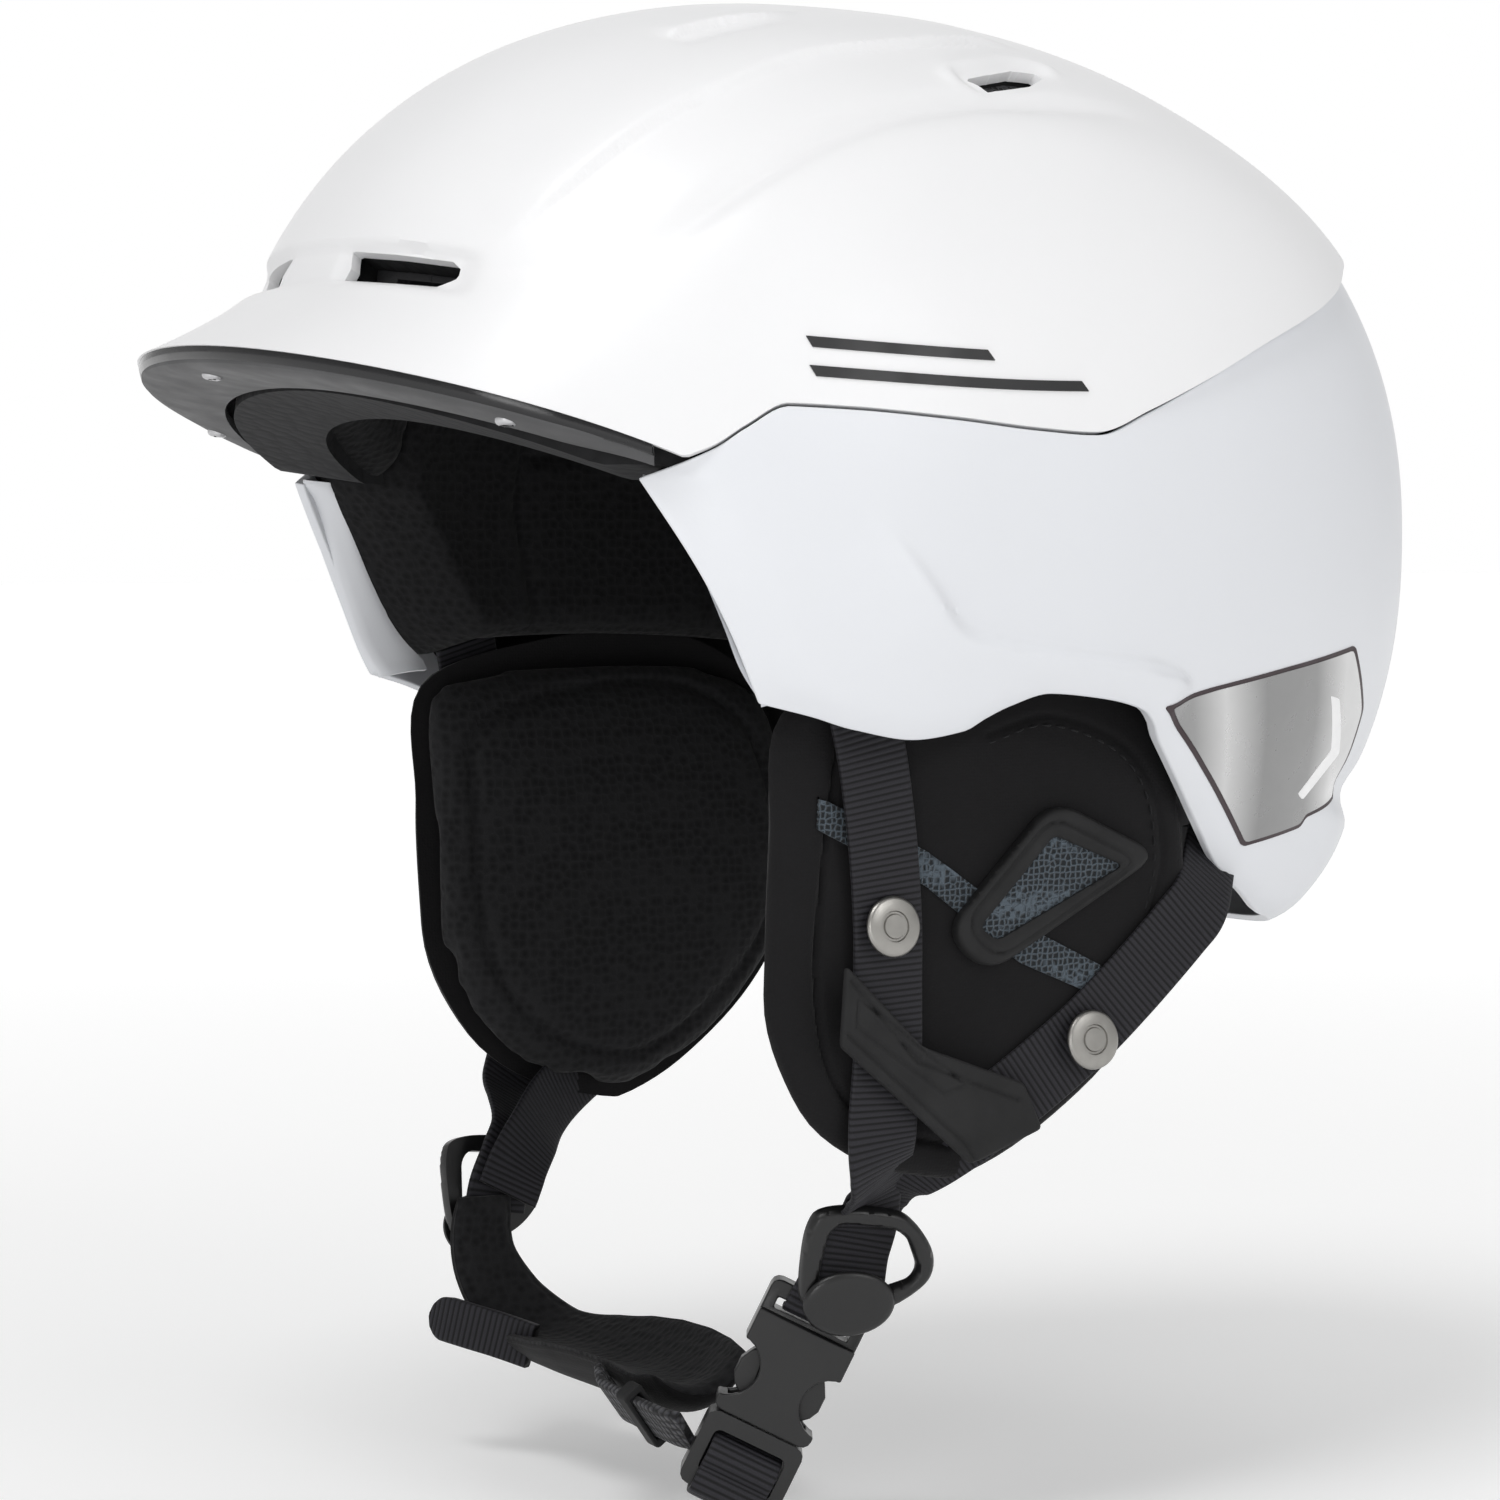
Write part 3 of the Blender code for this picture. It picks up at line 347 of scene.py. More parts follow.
def grid_quads(rows, columns, wrap=False, pole=False):
    index = np.arange(rows * columns).reshape(rows, columns)
    if pole:
        index[0] = 0
    right = np.roll(index, -1, axis=1)
    quads = np.stack([index[:-1], index[1:], right[1:], right[:-1]], -1)
    return quads if wrap else quads[:, :-1]


def solid_between(name, outer, inner, material, wrap=False, pole=False, keep=None, uv=None, **look):
    """A closed solid between two grids of points; keep marks the cells that are there."""
    rows, columns = outer.shape[:2]
    quads = grid_quads(rows, columns, wrap, pole)
    quads = quads[keep] if keep is not None else quads.reshape(-1, 4)
    points = np.concatenate([outer.reshape(-1, 3), inner.reshape(-1, 3)])
    if uv is not None:
        uv = np.concatenate([uv.reshape(-1, 2)] * 2)
    return make_object(name, points, shell_faces(quads, rows * columns), material, uv=uv, **look)


def inside(outline, x, y):
    """Whether each point is inside a closed outline."""
    p = np.asarray(outline, float)
    result = np.zeros(np.shape(x), bool)
    for (ax, ay), (bx, by) in zip(p, np.roll(p, -1, axis=0)):
        if ay != by:
            crosses = (ay > y) != (by > y)
            result ^= crosses & (x < (bx - ax) * (y - ay) / (by - ay) + ax)
    return result


def trim_grid(x, y, outline, keep, hole=False):
    """Drop the cells outside an outline, or inside it for a hole, and pull the edge vertices onto it."""
    middle_x = (x[:-1, :-1] + x[1:, 1:]) / 2
    middle_y = (y[:-1, :-1] + y[1:, 1:]) / 2
    within = inside(outline, middle_x, middle_y)
    now = keep & (~within if hole else within)
    touch_kept = np.zeros(x.shape, bool)
    touch_lost = np.zeros(x.shape, bool)
    for rows in (slice(0, -1), slice(1, None)):
        for columns in (slice(0, -1), slice(1, None)):
            touch_kept[rows, columns] |= now
            touch_lost[rows, columns] |= keep & ~now
    edge = touch_kept & touch_lost
    p = np.asarray(outline, float)
    dense = np.concatenate([a + (b - a) * np.linspace(0, 1, 12, endpoint=False)[:, None]
                            for a, b in zip(p, np.roll(p, -1, axis=0))])
    spots = np.stack([x[edge], y[edge]], 1)
    nearest = np.argmin(((spots[:, None] - dense[None]) ** 2).sum(axis=2), axis=1)
    x, y = x.copy(), y.copy()
    x[edge], y[edge] = dense[nearest].T
    return x, y, now


def trimmed_plate(name, outline, cell, point_at, top, bottom, material, holes=(), relief=None, **look):
    """A plate cut to an outline in two surface coordinates, between two heights over the surface."""
    outline = np.asarray(outline, float)
    low, high = outline.min(axis=0) - cell, outline.max(axis=0) + cell
    counts = np.ceil((high - low) / cell).astype(int) + 1
    x, y = np.meshgrid(np.linspace(low[0], high[0], counts[0]), np.linspace(low[1], high[1], counts[1]))
    keep = np.ones((x.shape[0] - 1, x.shape[1] - 1), bool)
    x, y, keep = trim_grid(x, y, outline, keep)
    for hole in holes:
        x, y, keep = trim_grid(x, y, hole, keep, hole=True)
    lift = top + (relief(x, y) if relief else 0)
    uv = np.stack([(x - low[0]) / (high[0] - low[0]), (y - low[1]) / (high[1] - low[1])], -1)
    return solid_between(name, point_at(x, y, lift + 0 * x), point_at(x, y, bottom + 0 * x), material,
                         keep=keep, uv=uv, **look)


def polyline_gap(line, x, y):
    """Distance from each point to a polyline in the same plane."""
    best = np.full(np.shape(x), 1e9)
    for a, b in zip(np.asarray(line, float), np.asarray(line, float)[1:]):
        step = b - a
        t = np.clip(((x - a[0]) * step[0] + (y - a[1]) * step[1]) / (step @ step), 0, 1)
        best = np.minimum(best, np.hypot(x - a[0] - t * step[0], y - a[1] - t * step[1]))
    return best


# ---- materials ----
COLOR_A, COLOR_B, MIXED_COLOR = 6, 7, 2
KNIT_CELL = 2.2 * MM
CLOTH_CELL = 0.7 * MM
BRAID_CELL = 1.6 * MM
FOAM_BEAD = 3.5 * MM


class Look:
    """Builds one procedural material, a few nodes at a time."""

    def __init__(self, name, color, roughness, **settings):
        self.material = bpy.data.materials.new(name)
        self.material.use_nodes = True
        self.nodes = self.material.node_tree.nodes
        self.links = self.material.node_tree.links
        self.shader = self.nodes["Principled BSDF"]
        self.shader.inputs["Base Color"].default_value = (*color, 1)
        self.shader.inputs["Roughness"].default_value = roughness
        self.color = color
        self.coordinates = self.nodes.new("ShaderNodeTexCoord")
        for socket, value in settings.items():
            self.shader.inputs[socket.replace("_", " ")].default_value = value

    def add(self, kind, inputs=(), **settings):
        node = self.nodes.new("ShaderNode" + kind)
        for key, value in settings.items():
            setattr(node, key, value)
        for key, value in dict(inputs).items():
            if isinstance(value, bpy.types.NodeSocket):
                self.links.new(value, node.inputs[key])
            else:
                node.inputs[key].default_value = value
        return node

    def noise(self, scale, detail=3.0, roughness=0.5, vector=None):
        inputs = {"Vector": vector or self.coordinates.outputs["Object"], "Scale": scale, "Detail": detail,
                  "Roughness": roughness}
        return self.add("TexNoise", inputs).outputs["Fac"]

    def cells(self, scale, feature="F1", randomness=1.0):
        inputs = {"Vector": self.coordinates.outputs["Object"], "Scale": scale, "Randomness": randomness}
        return self.add("TexVoronoi", inputs, feature=feature).outputs["Distance"]

    def ramp(self, value, low, high, to_low=0.0, to_high=1.0):
        inputs = {"Value": value, "From Min": low, "From Max": high, "To Min": to_low, "To Max": to_high}
        return self.add("MapRange", inputs).outputs["Result"]

    def maths(self, operation, a, b):
        return self.add("Math", {0: a, 1: b}, operation=operation).outputs[0]

    def tint(self, share, dark, light):
        """Vary the colour between two strengths of the base colour."""
        node = self.add("Mix", {"Factor": share}, data_type="RGBA")
        for socket, strength in ((COLOR_A, dark), (COLOR_B, light)):
            node.inputs[socket].default_value = (*[min(c * strength, 1) for c in self.color], 1)
        self.links.new(node.outputs[MIXED_COLOR], self.shader.inputs["Base Color"])

    def rough(self, share, low, high):
        self.links.new(self.ramp(share, 0.3, 0.7, low, high), self.shader.inputs["Roughness"])

    def bump(self, height, distance, strength=1.0):
        inputs = {"Height": height, "Distance": distance, "Strength": strength}
        before = self.shader.inputs["Normal"]
        if before.is_linked:
            inputs["Normal"] = before.links[0].from_socket
        node = self.add("Bump", inputs)
        self.links.new(node.outputs["Normal"], before)


def shell_paint(name, color):
    """Satin lacquer with faint scuffs and a slight orange peel."""
    look = Look(name, color, 0.4, Coat_Weight=0.15, Coat_Roughness=0.3, Specular_IOR_Level=0.42)
    look.tint(look.noise(14, 4), 0.975, 1.01)
    scuffs = look.ramp(look.noise(230, 6, 0.75), 0.55, 0.75, 0.0, 0.25)
    look.rough(look.maths("ADD", look.noise(40, 3), scuffs), 0.36, 0.48)
    look.bump(look.noise(1500, 2), 0.00004, 0.35)
    look.bump(look.noise(60, 2), 0.0001, 0.10)
    return look.material


def moulded(name, color, roughness, grain=1300, depth=0.00006, **settings):
    """Moulded plastic or rubber with a fine spark-eroded grain and slightly polished high spots."""
    look = Look(name, color, roughness, **settings)
    look.tint(look.noise(55, 5), 0.8, 1.25)
    look.rough(look.noise(120, 4), max(roughness - 0.08, 0.05), min(roughness + 0.1, 1))
    look.bump(look.noise(grain, 3, 0.6), depth, 0.6)
    return look.material


def knit(name, color):
    """Warp-knit lining: rounded cells, with the pits between the yarns darkened as painted shade."""
    look = Look(name, color, 0.92, Sheen_Weight=0.06, Sheen_Roughness=0.5, Specular_IOR_Level=0.1)
    pits = look.cells(1 / KNIT_CELL, randomness=0.55)
    yarn = look.noise(3200, 3, 0.7)
    random_tone = look.ramp(yarn, 0.3, 0.7, 0.6, 1.0)
    # Painted shade: the colour darkens in the pits, where the bump sinks; the yarn tone varies at random.
    look.tint(look.maths("MULTIPLY", look.ramp(pits, 0.15, 0.62, 0.3, 1.0), random_tone), 0.5, 1.6)
    look.bump(look.ramp(pits, 0.1, 0.7), 0.0003, 0.7)
    look.bump(yarn, 0.0001, 0.5)
    return look.material


def fabric(name, color):
    """Smooth neoprene-backed cloth with a tight weave and a faint nap."""
    look = Look(name, color, 0.85, Sheen_Weight=0.07, Sheen_Roughness=0.45, Specular_IOR_Level=0.14)
    look.tint(look.noise(30, 5, 0.65), 0.75, 1.35)
    look.bump(look.cells(1 / CLOTH_CELL, randomness=0.5), 0.00012, 0.6)
    look.bump(look.noise(2600, 3, 0.7), 0.00008, 0.5)
    return look.material


def spacer_mesh(name, color, cell):
    """Open netting: light strands round holes that are painted dark, as painted shade seen through the
    openings.
    """
    look = Look(name, color, 0.75, Sheen_Weight=0.1, Specular_IOR_Level=0.25)
    edge = look.cells(1 / cell, "DISTANCE_TO_EDGE", 0.45)
    strand = look.ramp(edge, 0.05, 0.26, 1.0, 0.0)
    # Painted shade: the holes between the strands are coloured dark.
    look.tint(look.maths("MULTIPLY", strand, look.ramp(look.noise(2400), 0.3, 0.7, 0.7, 1.0)), 0.18, 1.7)
    look.bump(strand, 0.0006, 0.9)
    return look.material


def woven(name, color):
    """Polyester webbing; its ribs are modelled, the yarns are in the surface, and the colour darkens in the
    grooves between the ribs as painted shade.
    """
    look = Look(name, color, 0.6, Sheen_Weight=0.06, Sheen_Roughness=0.35, Specular_IOR_Level=0.22)
    uv = look.add("UVMap", uv_map="surface").outputs["UV"]
    stretched = look.add("Mapping", {"Vector": uv, "Scale": (4, 60, 1)}).outputs["Vector"]
    yarn = look.noise(1.0, 2, vector=stretched)
    turns = look.maths("MULTIPLY", look.add("SeparateXYZ", {"Vector": uv}).outputs["X"], 2 * pi)
    # Painted shade: the colour is dark where the modelled ribs leave a groove.
    rib = look.ramp(look.maths("COSINE", turns, 0.0), -0.2, 0.95, 1.0, 0.0)
    look.tint(look.maths("MULTIPLY", look.ramp(yarn, 0.3, 0.7, 0.6, 1.0), rib), 0.22, 1.6)
    look.bump(yarn, 0.00015, 0.5)
    look.bump(look.noise(4200, 2), 0.00006, 0.5)
    return look.material


def braided(name, color):
    """Braided elastic with a coarse even cell: the raised cell tops are painted lighter as a highlight, and
    the grooves between them darker as painted shade.
    """
    look = Look(name, color, 0.75, Sheen_Weight=0.12, Specular_IOR_Level=0.25)
    cells = look.cells(1 / BRAID_CELL, randomness=0.25)
    # Painted highlight on the cell tops and painted shade in the grooves, following the bump.
    look.tint(look.ramp(cells, 0.15, 0.6, 1.0, 0.0), 0.25, 2.2)
    look.bump(look.ramp(cells, 0.1, 0.6, 1.0, 0.0), 0.0006, 0.9)
    return look.material


def expanded_foam(name, color):
    """Bead foam with rounded beads and a few darker patches; the gaps between the beads are darkened as
    painted shade.
    """
    look = Look(name, color, 0.85, Specular_IOR_Level=0.3)
    beads = look.cells(1 / FOAM_BEAD)
    random_tone = look.ramp(look.noise(45, 4), 0.3, 0.7, 0.8, 1.0)
    # Painted shade: darker at the bead edges, where the bump sinks; the darker patches vary at random.
    look.tint(look.maths("MULTIPLY", look.ramp(beads, 0.2, 0.75, 1.0, 0.55), random_tone), 0.55, 1.25)
    look.bump(look.ramp(beads, 0.3, 0.8, 1.0, 0.0), 0.0003, 0.6)
    look.bump(look.noise(900, 3), 0.00008, 0.4)
    return look.material


def metal(name, color, roughness, grain=(900, 900, 20)):
    """Plated metal brushed along one direction."""
    look = Look(name, color, roughness, Metallic=1.0)
    brushed = look.add("Mapping", {"Vector": look.coordinates.outputs["Object"], "Scale": grain})
    strokes = look.noise(1.0, 3, vector=brushed.outputs["Vector"])
    look.tint(look.noise(300, 4), 0.8, 1.1)
    look.rough(strokes, roughness, roughness + 0.18)
    look.bump(strokes, 0.00002, 0.3)
    return look.material


def badge_foil(name):
    """Metal-effect foil whose soft light and dark bands across it are painted reflections."""
    look = Look(name, (0.36, 0.36, 0.36), 0.3, Metallic=0.55, Coat_Weight=0.6, Coat_Roughness=0.12)
    uv = look.add("UVMap", uv_map="surface").outputs["UV"]
    split = look.add("SeparateXYZ", {"Vector": uv})
    # Painted reflection: light and dark bands along a slant across the badge.
    slant = look.maths("ADD", split.outputs["X"], look.maths("MULTIPLY", split.outputs["Y"], 0.22))
    ramp = look.add("ValToRGB", {"Fac": slant})
    reflection_stops = [(0.05, 0.22), (0.26, 0.30), (0.40, 0.60), (0.58, 0.24), (0.82, 0.25), (0.98, 0.62)]
    for k, (position, value) in enumerate(reflection_stops):
        element = ramp.color_ramp.elements[k] if k < 2 else ramp.color_ramp.elements.new(position)
        element.position = position
        element.color = (value, value, value, 1)
    look.links.new(ramp.outputs["Color"], look.shader.inputs["Base Color"])
    look.rough(look.noise(200, 4), 0.24, 0.38)
    look.bump(look.noise(1700, 2), 0.00002, 0.3)
    return look.material


MATERIALS = {
    "upper_white": shell_paint("upper_paint", (0.80, 0.80, 0.808)),
    "lower_white": shell_paint("lower_paint", (0.72, 0.733, 0.762)),
    "brim_grey": moulded("brim_underside", (0.068, 0.068, 0.07), 0.62),
    "brim_lip": moulded("brim_lip_gloss", (0.006, 0.006, 0.007), 0.18, depth=0.00002),
    "foam_grey": expanded_foam("liner_foam", (0.014, 0.014, 0.015)),
    "screw_steel": metal("screw_metal", (0.55, 0.55, 0.56), 0.28),
    "vent_mesh": spacer_mesh("vent_netting", (0.03, 0.03, 0.034), 0.0016),
    "badge_silver": badge_foil("badge_foil"),
    "badge_edge": moulded("badge_border", (0.035, 0.02, 0.024), 0.5),
    "decal_black": moulded("decal_ink", (0.012, 0.012, 0.013), 0.4, depth=0.00002),
    "decal_white": moulded("decal_white_ink", (0.85, 0.85, 0.86), 0.35, depth=0.00002),
    "padding_black": knit("lining_knit", (0.008, 0.008, 0.0085)),
    "ear_knit": knit("ear_pad_knit", (0.013, 0.013, 0.0138)),
    "ear_cover_black": fabric("ear_cover_cloth", (0.0085, 0.0082, 0.0088)),
    "spacer_mesh": spacer_mesh("ear_netting", (0.052, 0.066, 0.080), 0.0013),
    "soft_rubber": moulded("matte_rubber", (0.012, 0.012, 0.0125), 0.68, Specular_IOR_Level=0.3),
    "webbing": woven("strap_weave", (0.017, 0.0165, 0.020)),
    "elastic": braided("elastic_braid", (0.03, 0.03, 0.034)),
    "thread": fabric("stitching_thread", (0.016, 0.016, 0.017)),
    "snap_nickel": metal("snap_plating", (0.36, 0.35, 0.33), 0.3, (300, 300, 40)),
    "acetal_black": moulded("buckle_plastic", (0.008, 0.008, 0.0083), 0.36, 1800, 0.00004),
    "fit_plastic": moulded("fit_system_plastic", (0.022, 0.022, 0.024), 0.5),
    "pin_steel": metal("pin_metal", (0.5, 0.5, 0.5), 0.3),
}


def place(obj, nodes, body="helmet"):
    """Attach a piece to its body and hide the CAD nodes that it stands for."""
    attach(obj, body)
    if nodes:
        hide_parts(*nodes)


# ---- shells: heights and depths of their relief in millimetres ----
LEDGE_RISE = 1.7
GROOVE_DEPTH = 2.1
SCOOP_RISE = 1.4
CHANNEL_DEPTH = 2.0
FACE_FALL = 3.0
BOTTOM_FALL = 1.6
RIDGE_RISE = 2.2
FACE_TOP = 50
FACE_BOTTOM = 62.4


def upper_relief(theta, phi):
    """How far the upper shell's surface stands out from the plain form."""
    ledge, t = line_distance(UPPER_LEDGE, theta, phi)
    height = LEDGE_RISE * smooth(-0.9, 0.9, ledge) * np.exp(-(np.maximum(ledge, 0) / 15) ** 2) * fades(t)
    groove, t = line_distance(UPPER_GROOVE, theta, phi)
    dip = GROOVE_DEPTH * bump_at(groove, 0, 3.0) - 1.1 * bump_at(groove, -10, 8)
    height = height - dip * fades(t, 0.2, 0.3)
    scoop, t = line_distance(SCOOP, theta, phi)
    near = smooth(0, 0.08, t) * (1 - smooth(0.3, 1, t))
    crest = smooth(-0.5, 0.5, scoop) * np.exp(-(np.maximum(scoop, 0) / 7) ** 2)
    height = height + SCOOP_RISE * crest * near
    height = height - 0.9 * bump_at(scoop, -3, 3) * near
    wide = np.abs(theta)
    channel = np.abs(phi - (28.9 - 0.0024 * wide ** 2))
    across = (1 - smooth(1.5, 2.6, channel)) * (1 - smooth(27.5, 32.5, wide))
    height = height - CHANNEL_DEPTH * across * (1 - 0.35 * (1 - smooth(6, 8.5, wide)))
    slot = outline_distance(TOP_VENT, theta, phi)
    height = height - 0.9 * bump_at(slot, 0, 1.6) + 0.8 * bump_at(slot, 4, 2) * smooth(53, 56, phi)
    return height * MM


def upper_surface(theta, phi, lift=0.0):
    return upper_point(theta, phi, -(upper_relief(theta, phi) + lift))


def dome_grid(rows, columns, edge_at, vents):
    """Angles of a grid from the crown down to an edge, and its cells that are left round the vents."""
    theta = np.repeat(np.linspace(-180, 180, columns + 1)[None], rows, axis=0)
    phi = 90 - (90 - edge_at(theta)) * np.linspace(0, 1, rows)[:, None]
    keep = np.ones((rows - 1, columns), bool)
    for side, _ in SIDES:
        for outline in vents:
            theta, phi, keep = trim_grid(theta, phi, mirrored(outline, side), keep, hole=True)
    return theta[:, :-1], phi[:, :-1], keep


def make_upper_shell():
    theta, phi, keep = dome_grid(160, 540, upper_edge, VENTS)
    relief = upper_relief(theta, phi)
    shell = solid_between("upper_shell_painted", upper_point(theta, phi, -relief),
                          upper_point(theta, phi, SHELL - relief), "upper_white",
                          wrap=True, pole=True, keep=keep, bevel=0.35 * MM)
    place(shell, ["upper_shell"])


FACE_EDGE = [(-17, 62.4), (-13, 60), (-9, 58.5), (-4.5, 56.7), (0, 54.8), (3, 53.4), (5, 52), (6.7, 50)]
LOWER_TOP = [(FACE_TOP, 6.7), *[(theta, phi - 0.3) for theta, phi in SEAM]]
MM_PER_DEGREE = 1.95


def lower_relief(theta, phi):
    """How far the lower shell's surface stands out from the plain form."""
    theta = np.abs(theta)
    from_face = (theta - along(FACE_EDGE, phi)) * np.cos(np.radians(phi)) * MM_PER_DEGREE
    from_bottom = (phi - along(BOTTOM, theta)) * MM_PER_DEGREE
    height = -FACE_FALL * np.clip(1 - from_face / 15, 0, 1) ** 1.3
    height = height - BOTTOM_FALL * np.clip(1 - from_bottom / 7, 0, 1) ** 2 * smooth(60, 70, theta)
    ridge, t = line_distance(CHEEK_RIDGE, theta, phi)
    step = (1 - smooth(-1.3, 1.3, ridge)) * np.exp(-(np.maximum(-ridge, 0) / 18) ** 2)
    return (height + RIDGE_RISE * step * fades(t, 0.3, 0.08)) * MM


def lower_surface(theta, phi, lift=0.0):
    return lower_point(theta, phi, -(lower_relief(theta, phi) + lift))


def make_lower_shell():
    half, rows = 160, 76
    k = np.arange(-half, half + 1)
    u = 1 - np.abs(k) / half
    v = np.linspace(0, 1, rows)[:, None]
    top, bottom = FACE_TOP + (180 - FACE_TOP) * u, FACE_BOTTOM + (180 - FACE_BOTTOM) * u
    theta = top + (bottom - top) * v + 1.2 * np.sin(pi * v) * (1 - u) ** 4
    phi = along(LOWER_TOP, top) * (1 - v) + along(BOTTOM, bottom) * v
    side = np.where(k <= 0, 1, -1)
    relief = lower_relief(theta, phi)
    shell = solid_between("lower_shell_painted", lower_point(side * theta, phi, -relief),
                          lower_point(side * theta, phi, SHELL - relief), "lower_white",
                          bevel=0.5 * MM)
    place(shell, ["lower_shell"])


def make_graphics():
    """The foil badge with its border and plain chevron, and two plain stripes on the side."""
    for side, label in SIDES:
        for name, outline, corners, low, high, look, nodes in (
                ("badge_border", scaled(BADGE, 1.05), 0.5, 0.0, 0.22, "badge_edge", []),
                ("badge_foil", BADGE, 0.5, 0.1, 0.36, "badge_silver", [f"badge_{label}"]),
                ("badge_chevron", CHEVRON, 0.2, 0.2, 0.44, "decal_white", [])):
            piece = trimmed_plate(f"{name}_{label}", rounded(mirrored(outline, side), corners, 3), 0.5,
                                  lower_surface, high * MM, low * MM, look)
            place(piece, nodes)
        for k, stripe in enumerate(STRIPES):
            a, b, c, d = mirrored(stripe, side)
            u, v = np.meshgrid(np.linspace(0, 1, 90), np.linspace(0, 1, 7))
            theta, phi = [(1 - v) * ((1 - u) * a[m] + u * b[m]) + v * ((1 - u) * d[m] + u * c[m])
                          for m in (0, 1)]
            piece = solid_between(f"side_stripe_{k + 1}_{label}", upper_surface(theta, phi, 0.3 * MM),
                                  upper_surface(theta, phi, -0.3 * MM), "decal_black")
            place(piece, [])


def foam_edge(theta):
    theta = np.abs(theta)
    front = phi_at_height(theta, brim_height(np.minimum(theta, 46)) - 8 * MM)
    return np.where(theta < FOAM_EDGE[0][0], front, along(FOAM_EDGE, theta))


def make_foam():
    theta, phi, keep = dome_grid(70, 240, foam_edge, [scaled(vent, 1.1) for vent in VENTS])
    foam = solid_between("liner_moulded", form_point(theta, phi, FOAM_OUT), form_point(theta, phi, FOAM_IN),
                         "foam_grey", wrap=True, pole=True, keep=keep, bevel=1.2 * MM)
    place(foam, ["foam_liner"])


def make_vent_parts():
    for side, label in SIDES:
        netting = trimmed_plate(f"top_vent_netting_{label}", mirrored(scaled(TOP_VENT, 1.05), side), 0.5,
                                form_point, 4.4 * MM, 5 * MM, "vent_mesh")
        place(netting, [f"top_vent_mesh_{label}"])
        grille = trimmed_plate(f"front_vent_bars_{label}", mirrored(FRONT_VENT, side), 0.5, form_point,
                               9 * MM, 11 * MM, "fit_plastic",
                               holes=[mirrored(GRILLE_GAP, side)], bevel=0.3 * MM)
        place(grille, [f"front_vent_grille_{label}"])


# ---- brim ----
BRIM_HALF = 52.0
BRIM_PROFILE = [(0.02, 3.6), (0.06, 4.4), (0.18, 5.3), (0.5, 6.9), (0.85, 8.2), (1.0, 8.5)]
PLATE_THICKNESS = 2.2 * MM
PLATE_MIDDLE = 0.45
PLATE_TAPER_FROM = 46
PLATE_SLOPE = 9
LIP_PROFILE = [(0.0, 0.1), (-0.15, 1.3), (0.1, 2.5), (0.7, 3.2), (3.5, 3.6)]
SCREW_SPOTS = ((0, 0.35, "center"), (38, 0.45, "left"), (-38, 0.45, "right"))
SCREW_PROFILE = [(0, 0.35), (0.7, 0.35), (0.75, 0.75), (1.4, 0.8), (1.9, 0.55), (2.2, 0.1), (2.2, -0.8),
                 (0, -0.8)]


def brim_ends(theta):
    """The shell's edge and the plate's inner edge, in plan, and the height of the shell's edge."""
    z = brim_height(theta)
    edge = upper_point(theta, upper_edge(theta))
    inner = form_point(theta, phi_at_height(theta, z - 7 * MM), 1.4 * MM)
    return edge - outward(theta) * 0.5 * MM, inner, z


def brim_thinning(theta):
    """How much of its depth the plate keeps towards its ends."""
    return 1 - 0.35 * (theta / BRIM_HALF) ** 2


def brim_underside(theta, share, drop):
    """A point that share of the way in from the shell's edge, a drop below it."""
    edge, inner, z = brim_ends(theta)
    share = np.asarray(share, float)[..., None]
    point = edge + (inner - edge) * share
    point[..., 2] = z - drop
    return point


def make_brim_plate():
    theta = np.linspace(-BRIM_HALF, BRIM_HALF, 161)[None]
    end = smooth(0.8, 1.0, np.abs(theta) / BRIM_HALF)
    tapered = (np.abs(theta) - PLATE_TAPER_FROM) / (BRIM_HALF - PLATE_TAPER_FROM)
    squeeze = shoulder(np.clip(tapered, 0, 1), 2, 0.03)
    below, above = [], []
    for share, drop in BRIM_PROFILE:
        depth = (drop * brim_thinning(theta) - 1.2 * end) * MM
        across = PLATE_MIDDLE + (share - PLATE_MIDDLE) * squeeze
        below.append(brim_underside(theta, across, depth)[0])
        above.append(brim_underside(theta, across, depth - PLATE_THICKNESS)[0])
    plate = solid_between("brim_plate_moulded", np.array(below), np.array(above), "brim_grey",
                          bevel=0.5 * MM)
    place(plate, ["brim_plate"])

    rows = []
    edge, _, z = brim_ends(theta)
    for inset, drop in LIP_PROFILE:
        point = edge - outward(theta) * inset * MM
        point[..., 2] = z - drop * (1 - 0.3 * end) * MM
        rows.append(point[0])
    inner = [row - outward(theta)[0] * 1.2 * MM for row in rows]
    lip = solid_between("brim_lip", np.array(rows), np.array(inner), "brim_lip", bevel=0.2 * MM)
    place(lip, [])


def lathe(name, profile, material, place_at, segments, **look):
    """A turned piece: profile is (radius, height) from the axis round to the axis again."""
    profile = np.array(profile, float) * MM
    bm = bmesh.new()
    rings = []
    for radius, height in profile:
        if radius < 1e-7:
            rings.append([bm.verts.new(place_at @ Vector((0, 0, height)))])
            continue
        ring = [bm.verts.new(place_at @ Vector((radius * cos(a), radius * sin(a), height)))
                for a in np.linspace(0, 2 * pi, segments, endpoint=False)]
        rings.append(ring)
    for low, high in zip(rings, rings[1:]):
        for j in range(segments):
            k = (j + 1) % segments
            corners = (low[j % len(low)], low[k % len(low)], high[k % len(high)], high[j % len(high)])
            bm.faces.new(list(dict.fromkeys(corners)))
    bmesh.ops.recalc_face_normals(bm, faces=bm.faces)
    return finish_object(name, mesh_from(bm, name), material, **look)


